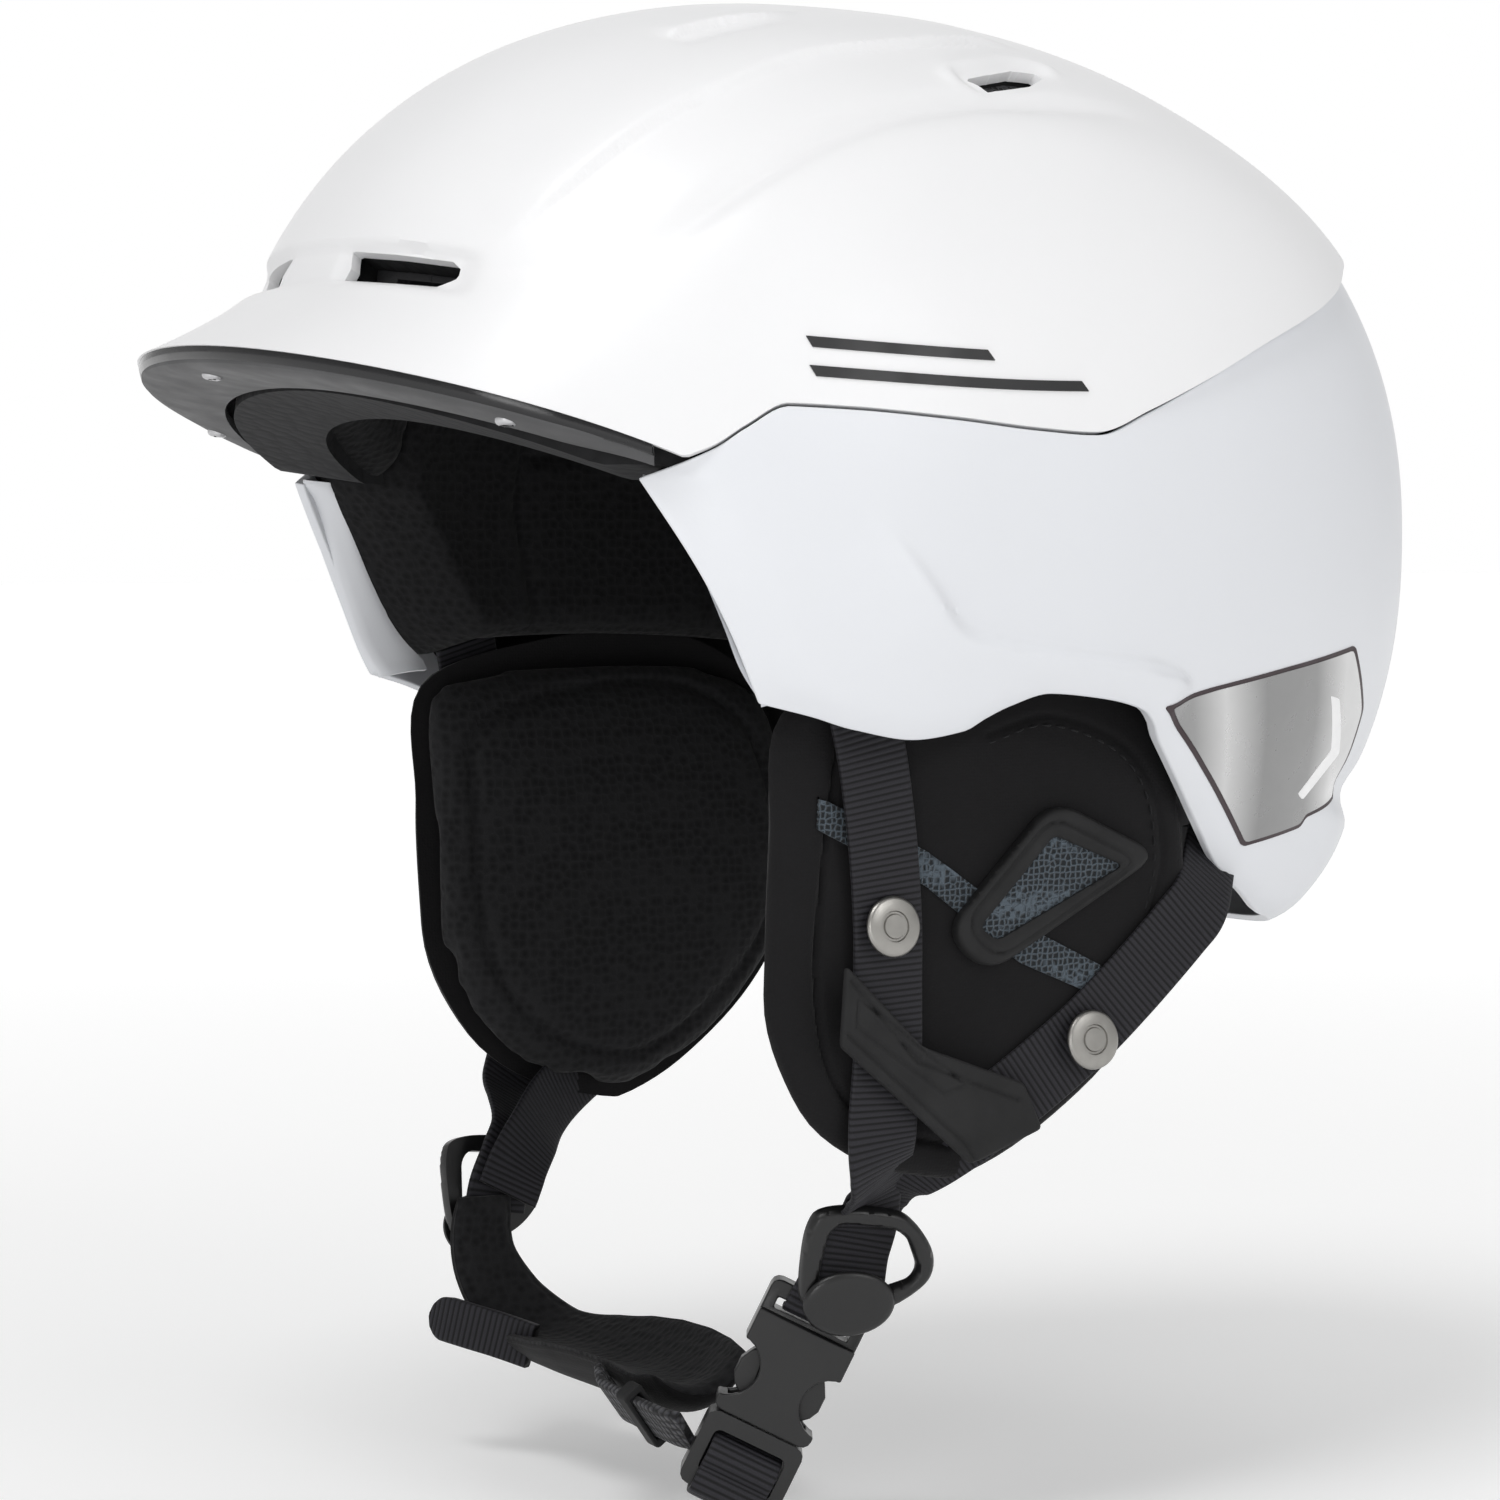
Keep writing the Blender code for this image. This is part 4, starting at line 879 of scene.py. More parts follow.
def make_brim_screws():
    for theta, share, label in SCREW_SPOTS:
        depth = np.interp(share, *np.array(BRIM_PROFILE).T) * brim_thinning(theta) * MM
        spot = brim_underside(np.array([float(theta)]), np.array([share]), depth)[0]
        tilt = Matrix.Rotation(radians(180 - PLATE_SLOPE), 4, "X")
        turn = Matrix.Rotation(radians(theta), 4, "Z")
        at = Matrix.Translation(spot) @ turn @ tilt
        head = lathe(f"brim_screw_head_{label}", SCREW_PROFILE, "screw_steel", at, 24)
        place(head, [f"brim_screw_{label}"])
        # Painted shade: a dark glossy bar across each screw head stands for the shade in the screw's slot.
        bm = bmesh.new()
        bmesh.ops.create_cube(bm, size=1, matrix=at @ Matrix.Translation((0, 0, 0.62 * MM))
                              @ Matrix.Diagonal((3.3 * MM, 0.55 * MM, 0.5 * MM, 1)))
        name = f"brim_screw_slot_shade_{label}"
        slot = finish_object(name, mesh_from(bm, name), "brim_lip", bevel=0.1 * MM)
        place(slot, [])


# ---- inner padding ----
BROW_PATH = [(14, 3.2), (18, 0.8), (23, 1.2), (27.5, 4.5), (29.5, 10), (30, 20), (32, 32), (35, 42)]
SIDE_SEAMS = [[(76, 18), (75, 5), (79, -15)], [(78, 14), (106, 17), (135, 14)], [(110, 16), (113, -15)]]
REAR_PAD = [(138, 40), (222, 40), (222, 0), (138, 0)]
REAR_SEAMS = [[(160, 40), (164, 0)], [(200, 40), (196, 0)]]
CROWN_HALF = (30 * MM, 40 * MM)


def swept_pad(name, thetas, path, thickness, nodes):
    """A pad swept round the head: path gives (inset, height over the foam's rim) in millimetres."""
    path = spline(path, 40)
    tangent = np.gradient(path, axis=0)
    normal = np.stack([tangent[:, 1], -tangent[:, 0]], 1)
    normal /= np.linalg.norm(normal, axis=1)[:, None]
    share = np.linspace(-1, 1, len(path))
    theta = np.linspace(*thetas, 110)
    span = np.abs(np.linspace(-1, 1, 110))
    sides = []
    for sign in (1, -1):
        rows = []
        for spot, facing, s in zip(path, normal, share):
            half = thickness / 2 * shoulder(s, 8, 0.02) * shoulder(span, 14, 0.02)
            seam = 0.7 * bump_at(s, -0.2, 0.04)
            inset = spot[0] + sign * facing[0] * (half - seam)
            z = brim_height(np.minimum(np.abs(theta), 50)) + (-8 + spot[1] + sign * facing[1] * half) * MM
            rows.append(form_point(theta, phi_at_height(theta, z)) - outward(theta) * inset[:, None] * MM)
        sides.append(np.array(rows))
    pad = solid_between(name, *sides, "padding_black", angle=75)
    place(pad, nodes)


def pillow(outline, width):
    """A relief that rises from the outline to full height within a width, with rounded shoulders."""
    def relief(x, y):
        return shoulder(1 - np.clip(polyline_gap(closed_line(outline), x, y) / width, 0, 1))
    return relief


def make_inner_pads():
    swept_pad("brow_pad_knitted", (-50, 50), BROW_PATH, 4.2, ["brow_pad"])
    for side, label in SIDES:
        front = [(along(LINING_FRONT, phi) - 8, phi) for phi in (-15.5, -12, -5, 0, 5, 8)]
        outline = rounded([*front, (46, 12), (49, 36), (135, 36), (136, -15.5)], 3)
        make_lining_pad(f"side_pad_knitted_{label}", mirrored(outline, side), [f"side_pad_{label}"],
                        [mirrored(seam, side) for seam in SIDE_SEAMS])
        make_shell_lining(side, label)
    make_lining_pad("rear_pad_knitted", rounded(REAR_PAD, 9), ["rear_pad"], REAR_SEAMS)


def crown_at(x, y, share):
    """A point of the crown pad: on the liner's inside where the share is 1, level with the origin at 0."""
    reach = np.where(y < 0, FRONT_REACH, REAR_REACH)
    wide, deep = np.abs(x) / (HALF_WIDTH - FOAM_IN), np.abs(y) / (reach - FOAM_IN)
    level = wide ** FULLNESS + deep ** FULLNESS
    top = (UP_REACH - FOAM_IN) * (1 - level) ** (1 / FULLNESS) + CENTER[2] - 0.8 * MM
    return np.stack([x, y, np.where(share > 0.5, top, share)], -1)


def make_crown_pad():
    turn = np.linspace(0, 2 * pi, 48, endpoint=False)
    oval = np.stack([CROWN_HALF[0] * np.cos(turn), CROWN_HALF[1] * np.sin(turn)], 1)
    rise = pillow(oval, 6 * MM)
    crown = trimmed_plate("crown_pad_knitted", oval, 1.6 * MM, crown_at, 1.0, 0.0,
                          "padding_black")
    for vertex in crown.data.vertices:
        if abs(vertex.co.z) < 1e-7:
            lifted = 2.5 * MM * (1 - float(rise(np.array(vertex.co.x), np.array(vertex.co.y))))
            vertex.co.z = lifted
    place(crown, ["crown_pad"])


SHELL_LINING = [(69, -5), (73, -14), (77, -18), (84, -19), (90, -17), (97, -14.6), (104, -15), (111, -17),
                (118, -22), (126, -29), (133, -33), (138, -30), (138, -7), (100, -5)]


def make_shell_lining(side, label):
    """Cloth on the lower shell's inner face, and the shell's edge turned in round the face opening."""
    cloth = trimmed_plate(f"shell_lining_cloth_{label}", mirrored(rounded(SHELL_LINING, 3), side), 1.2,
                          lower_surface, -SHELL - 0.4 * MM, -SHELL - 1.5 * MM,
                          "ear_cover_black")
    place(cloth, [])
    phi, inward = np.meshgrid(np.linspace(-17.4, 7.2, 70), np.linspace(0, 1, 6))
    edge = along(FACE_EDGE, phi)
    back = along(LINING_FRONT, phi) - 1.5 - edge
    rolled = np.sin(inward * pi / 2)
    faces = [lower_surface(side * (edge + 0.3 + back * inward), phi, -(2.1 + 5.2 * rolled + sink) * MM)
             for sink in (0, 1.2)]
    flange = solid_between(f"face_edge_return_{label}", *faces, "lower_white", angle=60)
    place(flange, [])


def lining_at(theta, phi, lift):
    """The lining's surface: over the foam's inner face, then round the foam's front edge to the shell."""
    side = np.where(theta < 0, -1, 1)
    front = along(LINING_FRONT, phi)
    wrapped = np.clip((front - np.abs(theta)) / 8, 0, 1)
    turn = smooth(0, 0.3, wrapped)
    inset = PAD_OUT + lift * (1 - turn) - 19 * MM * wrapped
    around = np.maximum(np.abs(theta), front) - 0.8 * turn - turn * lift * 0.35 / (MM_PER_DEGREE * MM)
    return form_point(side * around, phi, inset)


def make_lining_pad(name, outline, nodes, seams):
    rise = pillow(outline, 4)

    def relief(x, y):
        height = (PAD_IN - PAD_OUT) * (0.25 + 0.75 * rise(x, y))
        for seam in seams:
            height = height - 1.6 * MM * bump_at(polyline_gap(seam, x, y), 0, 1.1)
        return height

    pad = trimmed_plate(name, outline, 0.9, lining_at, 0.0, -0.6 * MM, "padding_black",
                        relief=relief, angle=70)
    place(pad, nodes)


# ---- ear pads: outlines in the side view (Y, Z) in millimetres ----
EAR_OUTLINE = [(-39, -116), (-41, -142), (-41, -165), (-40, -178), (-35, -190), (-27, -201), (-14, -209),
               (2, -213), (9, -213), (24, -206), (42, -192), (54, -176), (59, -158), (58, -144), (55, -131),
               (47, -114), (24, -104), (-10, -106)]
CUSHION_OUTLINE = [(-39, -117), (-40, -142), (-40, -165), (-39, -178), (-34, -189.5), (-26, -200),
                   (-14, -208), (2, -212), (9, -212), (24, -205), (41, -191.5), (53, -175.5), (58, -158),
                   (57, -144), (54, -130), (47, -117), (24, -110.5), (-10, -111)]
EAR_MIDDLE = (8, -160)
EAR_TOP_X = 88 * MM
EAR_LEAN = 10 * MM
RING_OUTLINE = [(23, -134.5), (50, -147), (9, -170.5), (-1.5, -161)]
RING_HOLE = [(23.5, -142), (41, -149), (11, -163.5), (6.5, -160.5)]
KEEPER_OUTLINE = [(-27, -166.5), (-27, -183), (6, -209.5), (22.5, -203), (17, -193), (-8, -184)]
KEEPER_FIELD = [(-24, -173), (-24, -179), (-2, -194), (3, -192.5)]
KEEPER_LINES = ([(-26, -169.5), (-9, -187), (16, -196.5)], [(-26, -180.5), (4, -205), (7, -209)])
KEEPER_BAR = [(-19, -177.6), (-8, -185.4)]
NETTING_BAND = [(-32, -139), (-32, -132.5), (-6, -144.5), (20, -161.5), (42, -172), (46, -179),
                (40, -177.5), (18, -168.5), (-6, -151.5)]
COVER_SEAM = [(-27, -122), (-30, -150), (-30, -172), (-25, -190), (-14, -201), (4, -206)]
BORDER_SEAM = [(8, -121), (23, -117.5), (40, -123), (49, -133), (52, -148), (50, -160)]

STRAP_WIDTH = 15.5 * MM
STRAP = 1.5 * MM
RIB_PITCH = 1.3 * MM
RIB_DEPTH = 0.22 * MM
RIGHT_PULL = 23 * MM
FRONT_STRAP = [(-26, -106, 1.0), (-24, -113, 2.4), (-21, -125, 2.4), (-18, -142, 2.4), (-16, -158, 2.4),
               (-15, -172, 2.4), (-14, -186, 2.4), (-14, -198, 2.4), (-13.5, -205, 2.2), (-12, -210, 0.2),
               (-9.5, -214.5, -5.5), (-7.5, -219, -11.2), (-7, -224, -13.3), (-8, -230, -14),
               (-9, -236, -13)]
REAR_STRAP = [(76, -141, -15), (69, -148.5, -7), (62, -157, 0.6), (56, -163, 2.0), (45, -174, 2.2),
              (34, -184, 2.2), (22, -193, 2.2), (11, -201, 1.0), (3, -207.5, -2), (-2, -213.5, -7.5),
              (-4, -219, -13.4), (-5, -225, -15.8), (-7, -232, -16)]
REAR_STRAP_SINK = 0.35
SNAPS = (((-16, -159), "front"), ((34, -185), "rear"))
SNAP_LIFT = 5.3 * MM
SNAP_PROFILE = [(0, 0.55), (2.4, 0.52), (2.6, 0.15), (3.0, 0.15), (3.2, 0.52), (5.4, 0.45), (5.8, 0.25),
                (6.1, -0.1), (6.25, -0.5), (6.0, -0.85), (0, -0.9)]


def ear_face(z):
    drop = np.maximum(-120 * MM - np.asarray(z, float), 0.0) / (95 * MM)
    return EAR_TOP_X - EAR_LEAN * drop ** 1.5


def ear_at(side):
    """Points from side-view millimetres and a lift in metres off the ear pad's outer face."""
    def point_at(y, z, lift):
        z = np.asarray(z, float) * MM
        return np.stack([side * (ear_face(z) + lift), np.asarray(y, float) * MM, z], -1)
    return point_at


def make_ear_cushion(side, label):
    """The knit-covered foam behind the ear cover: a crowned body puffed out by a cloth simulation."""
    steps = np.concatenate([[0], np.linspace(0.12, 0.9, 9), [0.95, 0.98, 1.0]])
    middle = np.array(EAR_MIDDLE, float)
    flat = middle + (spline(CUSHION_OUTLINE, 72, closed=True) - middle) * steps[:, None, None]
    at = ear_at(side)
    outer = at(flat[..., 0], flat[..., 1], -3.2 * MM)
    roll = shoulder(steps, 3.5, 0.03)[:, None]
    inner = at(flat[..., 0], flat[..., 1], (-3.6 - 13.5 * roll) * MM)
    pad = solid_between(f"ear_cushion_knitted_{label}", outer, inner, "ear_knit", wrap=True,
                        pole=True, angle=180)
    inflate(pad, voxel=3.2 * MM, cap=3 * MM)
    points = np.array([v.co[:] for v in pad.data.vertices])
    y, z = points[:, 1] / MM, points[:, 2] / MM
    depth = ear_face(points[:, 2]) - side * points[:, 0]
    seam = closed_line(spline(scaled(EAR_OUTLINE, 0.79, EAR_MIDDLE), 90, closed=True))
    depth = depth - 1.8 * MM * bump_at(polyline_gap(seam, y, z), 0, 1.3) * smooth(9 * MM, 12 * MM, depth)
    points[:, 0] = side * (ear_face(points[:, 2]) - np.maximum(depth, 3.15 * MM))
    pad.data.vertices.foreach_set("co", points.reshape(-1).astype(np.float32))
    place(pad, [f"ear_cushion_{label}"])


def inflate(obj, voxel, cap, pressure=4.0, frames=20):
    """Puff a closed body out as stuffed cloth, with no point moving further than the cap."""
    scene = bpy.context.scene
    bpy.context.view_layer.objects.active = obj
    remesh = obj.modifiers.new("even_cells", "REMESH")
    remesh.mode = "VOXEL"
    remesh.voxel_size = voxel
    even = obj.modifiers.new("even_surface", "SMOOTH")
    even.factor = 0.5
    even.iterations = 8
    apply_modifiers(obj)
    rest = np.array([v.co[:] for v in obj.data.vertices])
    cloth = obj.modifiers.new("stuffed_cloth", "CLOTH")
    cloth.settings.use_pressure = True
    cloth.settings.uniform_pressure_force = pressure
    cloth.settings.effector_weights.gravity = 0
    cloth.settings.tension_stiffness = 30
    cloth.settings.compression_stiffness = 20
    cloth.point_cache.frame_start = 1
    cloth.point_cache.frame_end = frames
    for step in range(1, frames + 1):
        scene.frame_set(step)
    apply_modifiers(obj)
    scene.frame_set(1)
    now = np.array([v.co[:] for v in obj.data.vertices])
    move = now - rest
    length = np.linalg.norm(move, axis=1)[:, None]
    now = rest + move * np.minimum(1, cap / np.maximum(length, 1e-9))
    obj.data.vertices.foreach_set("co", now.reshape(-1).astype(np.float32))
    divide = obj.modifiers.new("finer", "SUBSURF")
    divide.levels = divide.render_levels = 1
    apply_modifiers(obj)
    obj.data.shade_smooth()


def apply_modifiers(obj):
    """Make the object's evaluated shape its own mesh."""
    graph = bpy.context.evaluated_depsgraph_get()
    material = obj.data.materials[0]
    mesh = bpy.data.meshes.new_from_object(obj.evaluated_get(graph))
    obj.modifiers.clear()
    obj.data = mesh
    mesh.materials.clear()
    mesh.materials.append(material)


def make_ear_cover(side, label):
    at = ear_at(side)
    outline = spline(EAR_OUTLINE, 90, closed=True)
    rise = pillow(outline, 5)

    def relief(y, z):
        height = -2.2 * (1 - rise(y, z)) - 0.1
        seam = polyline_gap(spline(COVER_SEAM, 30), y, z)
        height = height - 1.5 * bump_at(seam, 0, 0.7) + 0.9 * bump_at(y, -36, 5) * smooth(0, 3, seam)
        border = polyline_gap(spline(BORDER_SEAM, 30), y, z)
        height = height - 0.7 * bump_at(border, 0, 0.6)
        beyond = np.hypot(y - 12, z + 158) - 36
        return (height - 0.35 * smooth(0, 4, beyond) * smooth(0, 10, z + 150)) * MM

    cover = trimmed_plate(f"ear_cover_cloth_{label}", outline, 0.7, at, -0.2 * MM, -3.0 * MM,
                          "ear_cover_black", relief=relief, angle=80)
    place(cover, [f"ear_cover_{label}"])
    border = spline(scaled(BORDER_SEAM, 0.955, EAR_MIDDLE), 60)
    make_stitches(f"ear_stitches_border_{label}", border, at, -0.3 * MM)


def make_ear_opening(side, label):
    """The netting band, the opening's own netting and the rubber ring round it."""
    at = ear_at(side)
    band = trimmed_plate(f"ear_netting_band_{label}", NETTING_BAND, 0.8, at, 0.3 * MM, -0.8 * MM,
                         "spacer_mesh", relief=lambda y, z: 0.15 * MM * np.sin(y * 2.1), angle=80)
    place(band, [])
    inset = trimmed_plate(f"ear_netting_{label}", scaled(RING_HOLE, 1.12), 0.7, at, 1.1 * MM, 0.0,
                          "spacer_mesh",
                          relief=lambda y, z: 0.12 * MM * np.sin(y * 2.4) * np.sin(z * 2.4), angle=80)
    place(inset, [f"ear_vent_mesh_{label}"])

    ring = rounded(RING_OUTLINE, 7, 8)
    hole = rounded(RING_HOLE, 1.6, 4)
    groove = closed_line(rounded(scaled(RING_OUTLINE, 0.82), 5, 6))

    def ring_relief(y, z):
        outer = np.clip(polyline_gap(closed_line(ring), y, z) / 1.6, 0, 1)
        inner = np.clip(polyline_gap(closed_line(hole), y, z) / 2.2, 0, 1)
        height = -(1 - shoulder(1 - outer)) - 0.9 * (1 - inner) ** 1.5
        return (height - 0.6 * bump_at(polyline_gap(groove, y, z), 0, 0.4)) * MM

    frame_piece = trimmed_plate(f"ear_vent_frame_{label}", ring, 0.38, at, 2.7 * MM, 0.0,
                                "soft_rubber", holes=[hole], relief=ring_relief, angle=60)
    place(frame_piece, [f"ear_vent_ring_{label}"])


def make_strap_keeper(side, label):
    """The rubber band over both straps, with engraved lines and a plain raised bar."""
    at = ear_at(side)
    keeper = rounded(KEEPER_OUTLINE, 1.2, 4)
    field = closed_line(KEEPER_FIELD)

    def keeper_relief(y, z):
        height = -0.5 * (1 - np.clip(polyline_gap(closed_line(keeper), y, z) / 0.8, 0, 1)) ** 2
        height = height - 0.45 * bump_at(polyline_gap(field, y, z), 0, 0.4)
        for line in KEEPER_LINES:
            height = height - 0.6 * bump_at(polyline_gap(line, y, z), 0, 0.4)
        within = inside(KEEPER_FIELD, y, z)
        bar = polyline_gap(KEEPER_BAR, y, z)
        return (height + 0.35 * within * (1 - smooth(0.6, 1.0, bar))) * MM

    tab = trimmed_plate(f"strap_keeper_rubber_{label}", keeper, 0.38, at, 6.5 * MM, 4.9 * MM,
                        "soft_rubber", relief=keeper_relief, angle=60)
    place(tab, [f"strap_keeper_{label}"])


def make_stitches(name, line, at, lift, length=2.2, gap=1.2, radius=0.22):
    """A row of thread stitches along a line on a surface."""
    step = length + gap
    distance = np.concatenate([[0], np.cumsum(np.linalg.norm(np.diff(line, axis=0), axis=1))])
    starts = np.arange(0, distance[-1] - length, step)
    angles = np.linspace(0, 2 * pi, 7)[:-1]
    points, faces = [], []
    for start in starts:
        where = start + np.linspace(0, length, 5)
        spots = np.stack([np.interp(where, distance, line[:, k]) for k in (0, 1)], 1)
        along_line = (spots[-1] - spots[0]) / np.linalg.norm(spots[-1] - spots[0])
        across = np.array([-along_line[1], along_line[0]])
        base = len(points)
        for k, spot in enumerate(spots):
            size = radius * (0.35 if k in (0, 4) else 1)
            dip = -0.25 if k in (0, 4) else 0.0
            for a in angles:
                y, z = spot + across * size * np.cos(a)
                points.append(at(y, z, lift + (dip + size * np.sin(a)) * MM))
        for k in range(4):
            for j in range(6):
                m = (j + 1) % 6
                low, high = base + 6 * k, base + 6 * (k + 1)
                faces.append([low + j, low + m, high + m, high + j])
        faces.append([base + j for j in range(6)])
        faces.append([base + 24 + j for j in range(6)])
    thread = make_object(name, np.array(points), faces, "thread", angle=80)
    place(thread, [])


# ---- webbing ----
def ribbon_frame(path, facing):
    """Unit vectors across a band and out of its face at each point of its path."""
    tangent = np.gradient(path, axis=0)
    tangent /= np.linalg.norm(tangent, axis=1)[:, None]
    across = np.cross(tangent, facing)
    across /= np.linalg.norm(across, axis=1)[:, None]
    return across, np.cross(across, tangent)


def webbing(name, route, normals, width, thickness, material, ribs=True, edge=0.45, end_round=False):
    """A woven band along a route, with ribs across it; each normal points out of its face."""
    length = np.linalg.norm(np.diff(np.array(route), axis=0), axis=1).sum()
    count = max(int(length / RIB_PITCH * 4), 12)
    path = spline(route, count)
    across, out = ribbon_frame(path, spline(normals, count))
    columns = np.array([-1, -0.97, -0.9, -0.75, -0.5, -0.25, 0, 0.25, 0.5, 0.75, 0.9, 0.97, 1.0])
    profile = np.array([edge, 0.8, 0.95, 1, 1, 1, 1, 1, 1, 1, 0.95, 0.8, edge])
    rib = 0.5 + 0.5 * np.cos(np.arange(count) / 4 * 2 * pi)
    depth = (RIB_DEPTH * rib if ribs else 0 * rib)[:, None] * (1 - np.abs(columns) ** 6)[None]
    half = np.full(count, width / 2)
    if end_round:
        last = np.clip((np.arange(count)[::-1]) * (length / count) / (width / 2), 0, 1)
        half = half * shoulder(1 - last, 2, 0.01)
    shift = across[:, None] * (half[:, None] * columns[None])[..., None]
    lift = thickness / 2 * profile[None] - depth
    grids = [path[:, None] + shift + sign * out[:, None] * lift[..., None] for sign in (1, -1)]
    uv = np.stack(np.broadcast_arrays(np.arange(count)[:, None] / 4, columns[None]), -1)
    return solid_between(name, *grids, material, uv=uv, angle=75)


def strap_pull(side, z):
    """How far forward the right straps are pulled at a height in metres."""
    return RIGHT_PULL * float(1 - smooth(-231 * MM, -196 * MM, z)) if side < 0 else 0.0


def strap_route(points, side):
    return [(side * (ear_face(z * MM) + lift * MM), y * MM - strap_pull(side, z * MM), z * MM)
            for y, z, lift in points]


def make_straps(side, label):
    front = webbing(f"front_strap_woven_{label}", strap_route(FRONT_STRAP, side),
                    [(side, -0.05, 0.1)] * len(FRONT_STRAP), STRAP_WIDTH, STRAP, "webbing")
    place(front, [f"front_strap_{label}"])
    sunk = [(y, z, lift - REAR_STRAP_SINK) for y, z, lift in REAR_STRAP]
    rear = webbing(f"rear_strap_woven_{label}", strap_route(sunk, side),
                   [(side, 0.1, 0.12)] * len(REAR_STRAP), STRAP_WIDTH, STRAP * 0.8, "webbing")
    place(rear, [f"rear_strap_{label}"])
    for (y, z), name in SNAPS:
        face = float(ear_face(z * MM)) + SNAP_LIFT
        turn = Matrix.Rotation(side * radians(84), 4, "Y")
        at = Matrix.Translation((side * face, y * MM, z * MM)) @ turn
        cap = lathe(f"snap_cap_{name}_{label}", SNAP_PROFILE, "snap_nickel", at, 56, angle=60)
        place(cap, [f"snap_{name}_{label}"])


# ---- strap divider: its own frame has X to the rear, Y up, Z out of its face ----
DIVIDER_CENTER = Vector((66 * MM, -9 * MM, -231 * MM))
DIVIDER_OUT = Vector((0.93, -0.28, -0.22)).normalized()
DIVIDER_OUTLINE = [(-12.8, -7.5), (-12.8, 2.9), (-11.6, 8.9), (-9.2, 11.5), (-2.6, 12.1), (6.9, 10.7),
                   (11.3, 7.6), (14.6, 2.6), (15.3, -1.9), (13.4, -5.8), (7, -10.1), (-2.1, -12.5),
                   (-9.3, -11.5)]
DIVIDER_HOLE = [(-9.6, -5.5), (-7.6, 6.5), (-5.2, 8.7), (6.2, 7.3), (9.4, 5), (12, -1.8), (10.6, -4.6),
                (3, -7), (-6, -7)]
CAP_CENTER = (-2.9, -8.4)
CAP_HALF = (9.8, 7.2)
CAP_PROFILE = [(0.0, 3.6), (0.5, 3.55), (0.8, 3.4), (0.93, 3.1), (1.0, 2.5), (0.99, 2.0), (0.9, 1.9)]


def divider_frame(side):
    out = Vector((side * DIVIDER_OUT.x, DIVIDER_OUT.y, DIVIDER_OUT.z))
    rearward = side * Vector((0, 0, 1)).cross(out).normalized()
    up = side * out.cross(rearward)
    center = Vector((side * DIVIDER_CENTER.x, DIVIDER_CENTER.y, DIVIDER_CENTER.z))
    if side < 0:
        center.y -= RIGHT_PULL
    return Matrix.Translation(center) @ Matrix((rearward, up, out)).transposed().to_4x4()


def local_at(place_at):
    """Points from a local frame's millimetres and a height in metres."""
    turn, move = np.array(place_at.to_3x3()), np.array(place_at.translation)

    def point_at(x, y, height):
        flat = np.asarray(x, float) * MM, np.asarray(y, float) * MM
        return np.stack(np.broadcast_arrays(*flat, height), -1) @ turn.T + move
    return point_at


def oval_ring(at, turn, half, height, center=(0, 0)):
    """A closed oval of points in a local frame, its halves and height in millimetres."""
    return at(center[0] + half[0] * np.cos(turn), center[1] + half[1] * np.sin(turn), height * MM + 0 * turn)


def make_divider(side, label):
    at = local_at(divider_frame(side))
    outer = spline(DIVIDER_OUTLINE, 80, closed=True)
    hole = rounded(DIVIDER_HOLE, 2.5, 5)

    def edge_round(x, y):
        d = np.minimum(polyline_gap(closed_line(outer), x, y), polyline_gap(closed_line(hole), x, y))
        return -1.3 * MM * (1 - shoulder(1 - np.clip(d / 1.5, 0, 1)))

    ring = trimmed_plate(f"divider_ring_{label}", outer, 0.6, at, 1.7 * MM, -1.5 * MM,
                         "acetal_black", holes=[hole], relief=edge_round, angle=60,
                         bevel=0.3 * MM)
    place(ring, [f"strap_divider_{label}"])

    turn = np.linspace(0, 2 * pi, 72, endpoint=False)
    rows = [oval_ring(at, turn, (CAP_HALF[0] * s, CAP_HALF[1] * s), h, CAP_CENTER) for s, h in CAP_PROFILE]
    under = [oval_ring(at, turn, (CAP_HALF[0] * s * 0.9, CAP_HALF[1] * s * 0.9), 1.8, CAP_CENTER)
             for s, _ in CAP_PROFILE]
    cap = solid_between(f"divider_cap_domed_{label}", np.array(rows), np.array(under),
                        "acetal_black", wrap=True, pole=True, angle=60)
    place(cap, [f"divider_cap_{label}"])


def softened(node, name, slot, width, body="helmet"):
    """A copy of a hard CAD part with its edges rounded as moulded."""
    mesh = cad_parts[node].data.copy()
    bm = bmesh.new()
    bm.from_mesh(mesh)
    bmesh.ops.remove_doubles(bm, verts=bm.verts, dist=2e-6)
    bmesh.ops.dissolve_limit(bm, angle_limit=radians(1), verts=bm.verts, edges=bm.edges)
    bmesh.ops.recalc_face_normals(bm, faces=bm.faces)
    bm.to_mesh(mesh)
    bm.free()
    piece = finish_object(name, mesh, slot, angle=30)
    piece.matrix_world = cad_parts[node].matrix_world.copy()
    add_bevel(piece, width, segments=3, angle=32)
    place(piece, [node], body)


# ---- buckle: X across, Y along the strap towards the chin, Z out of its face ----
BUCKLE_TOP = Vector((54.8 * MM, -12 * MM, -240 * MM))
BUCKLE_ALONG = Vector((-0.213, -0.385, -0.898)).normalized()
BUCKLE_OUT = Vector((0.875, -0.485, 0.0))
LINK_WIDTH = 13.6 * MM

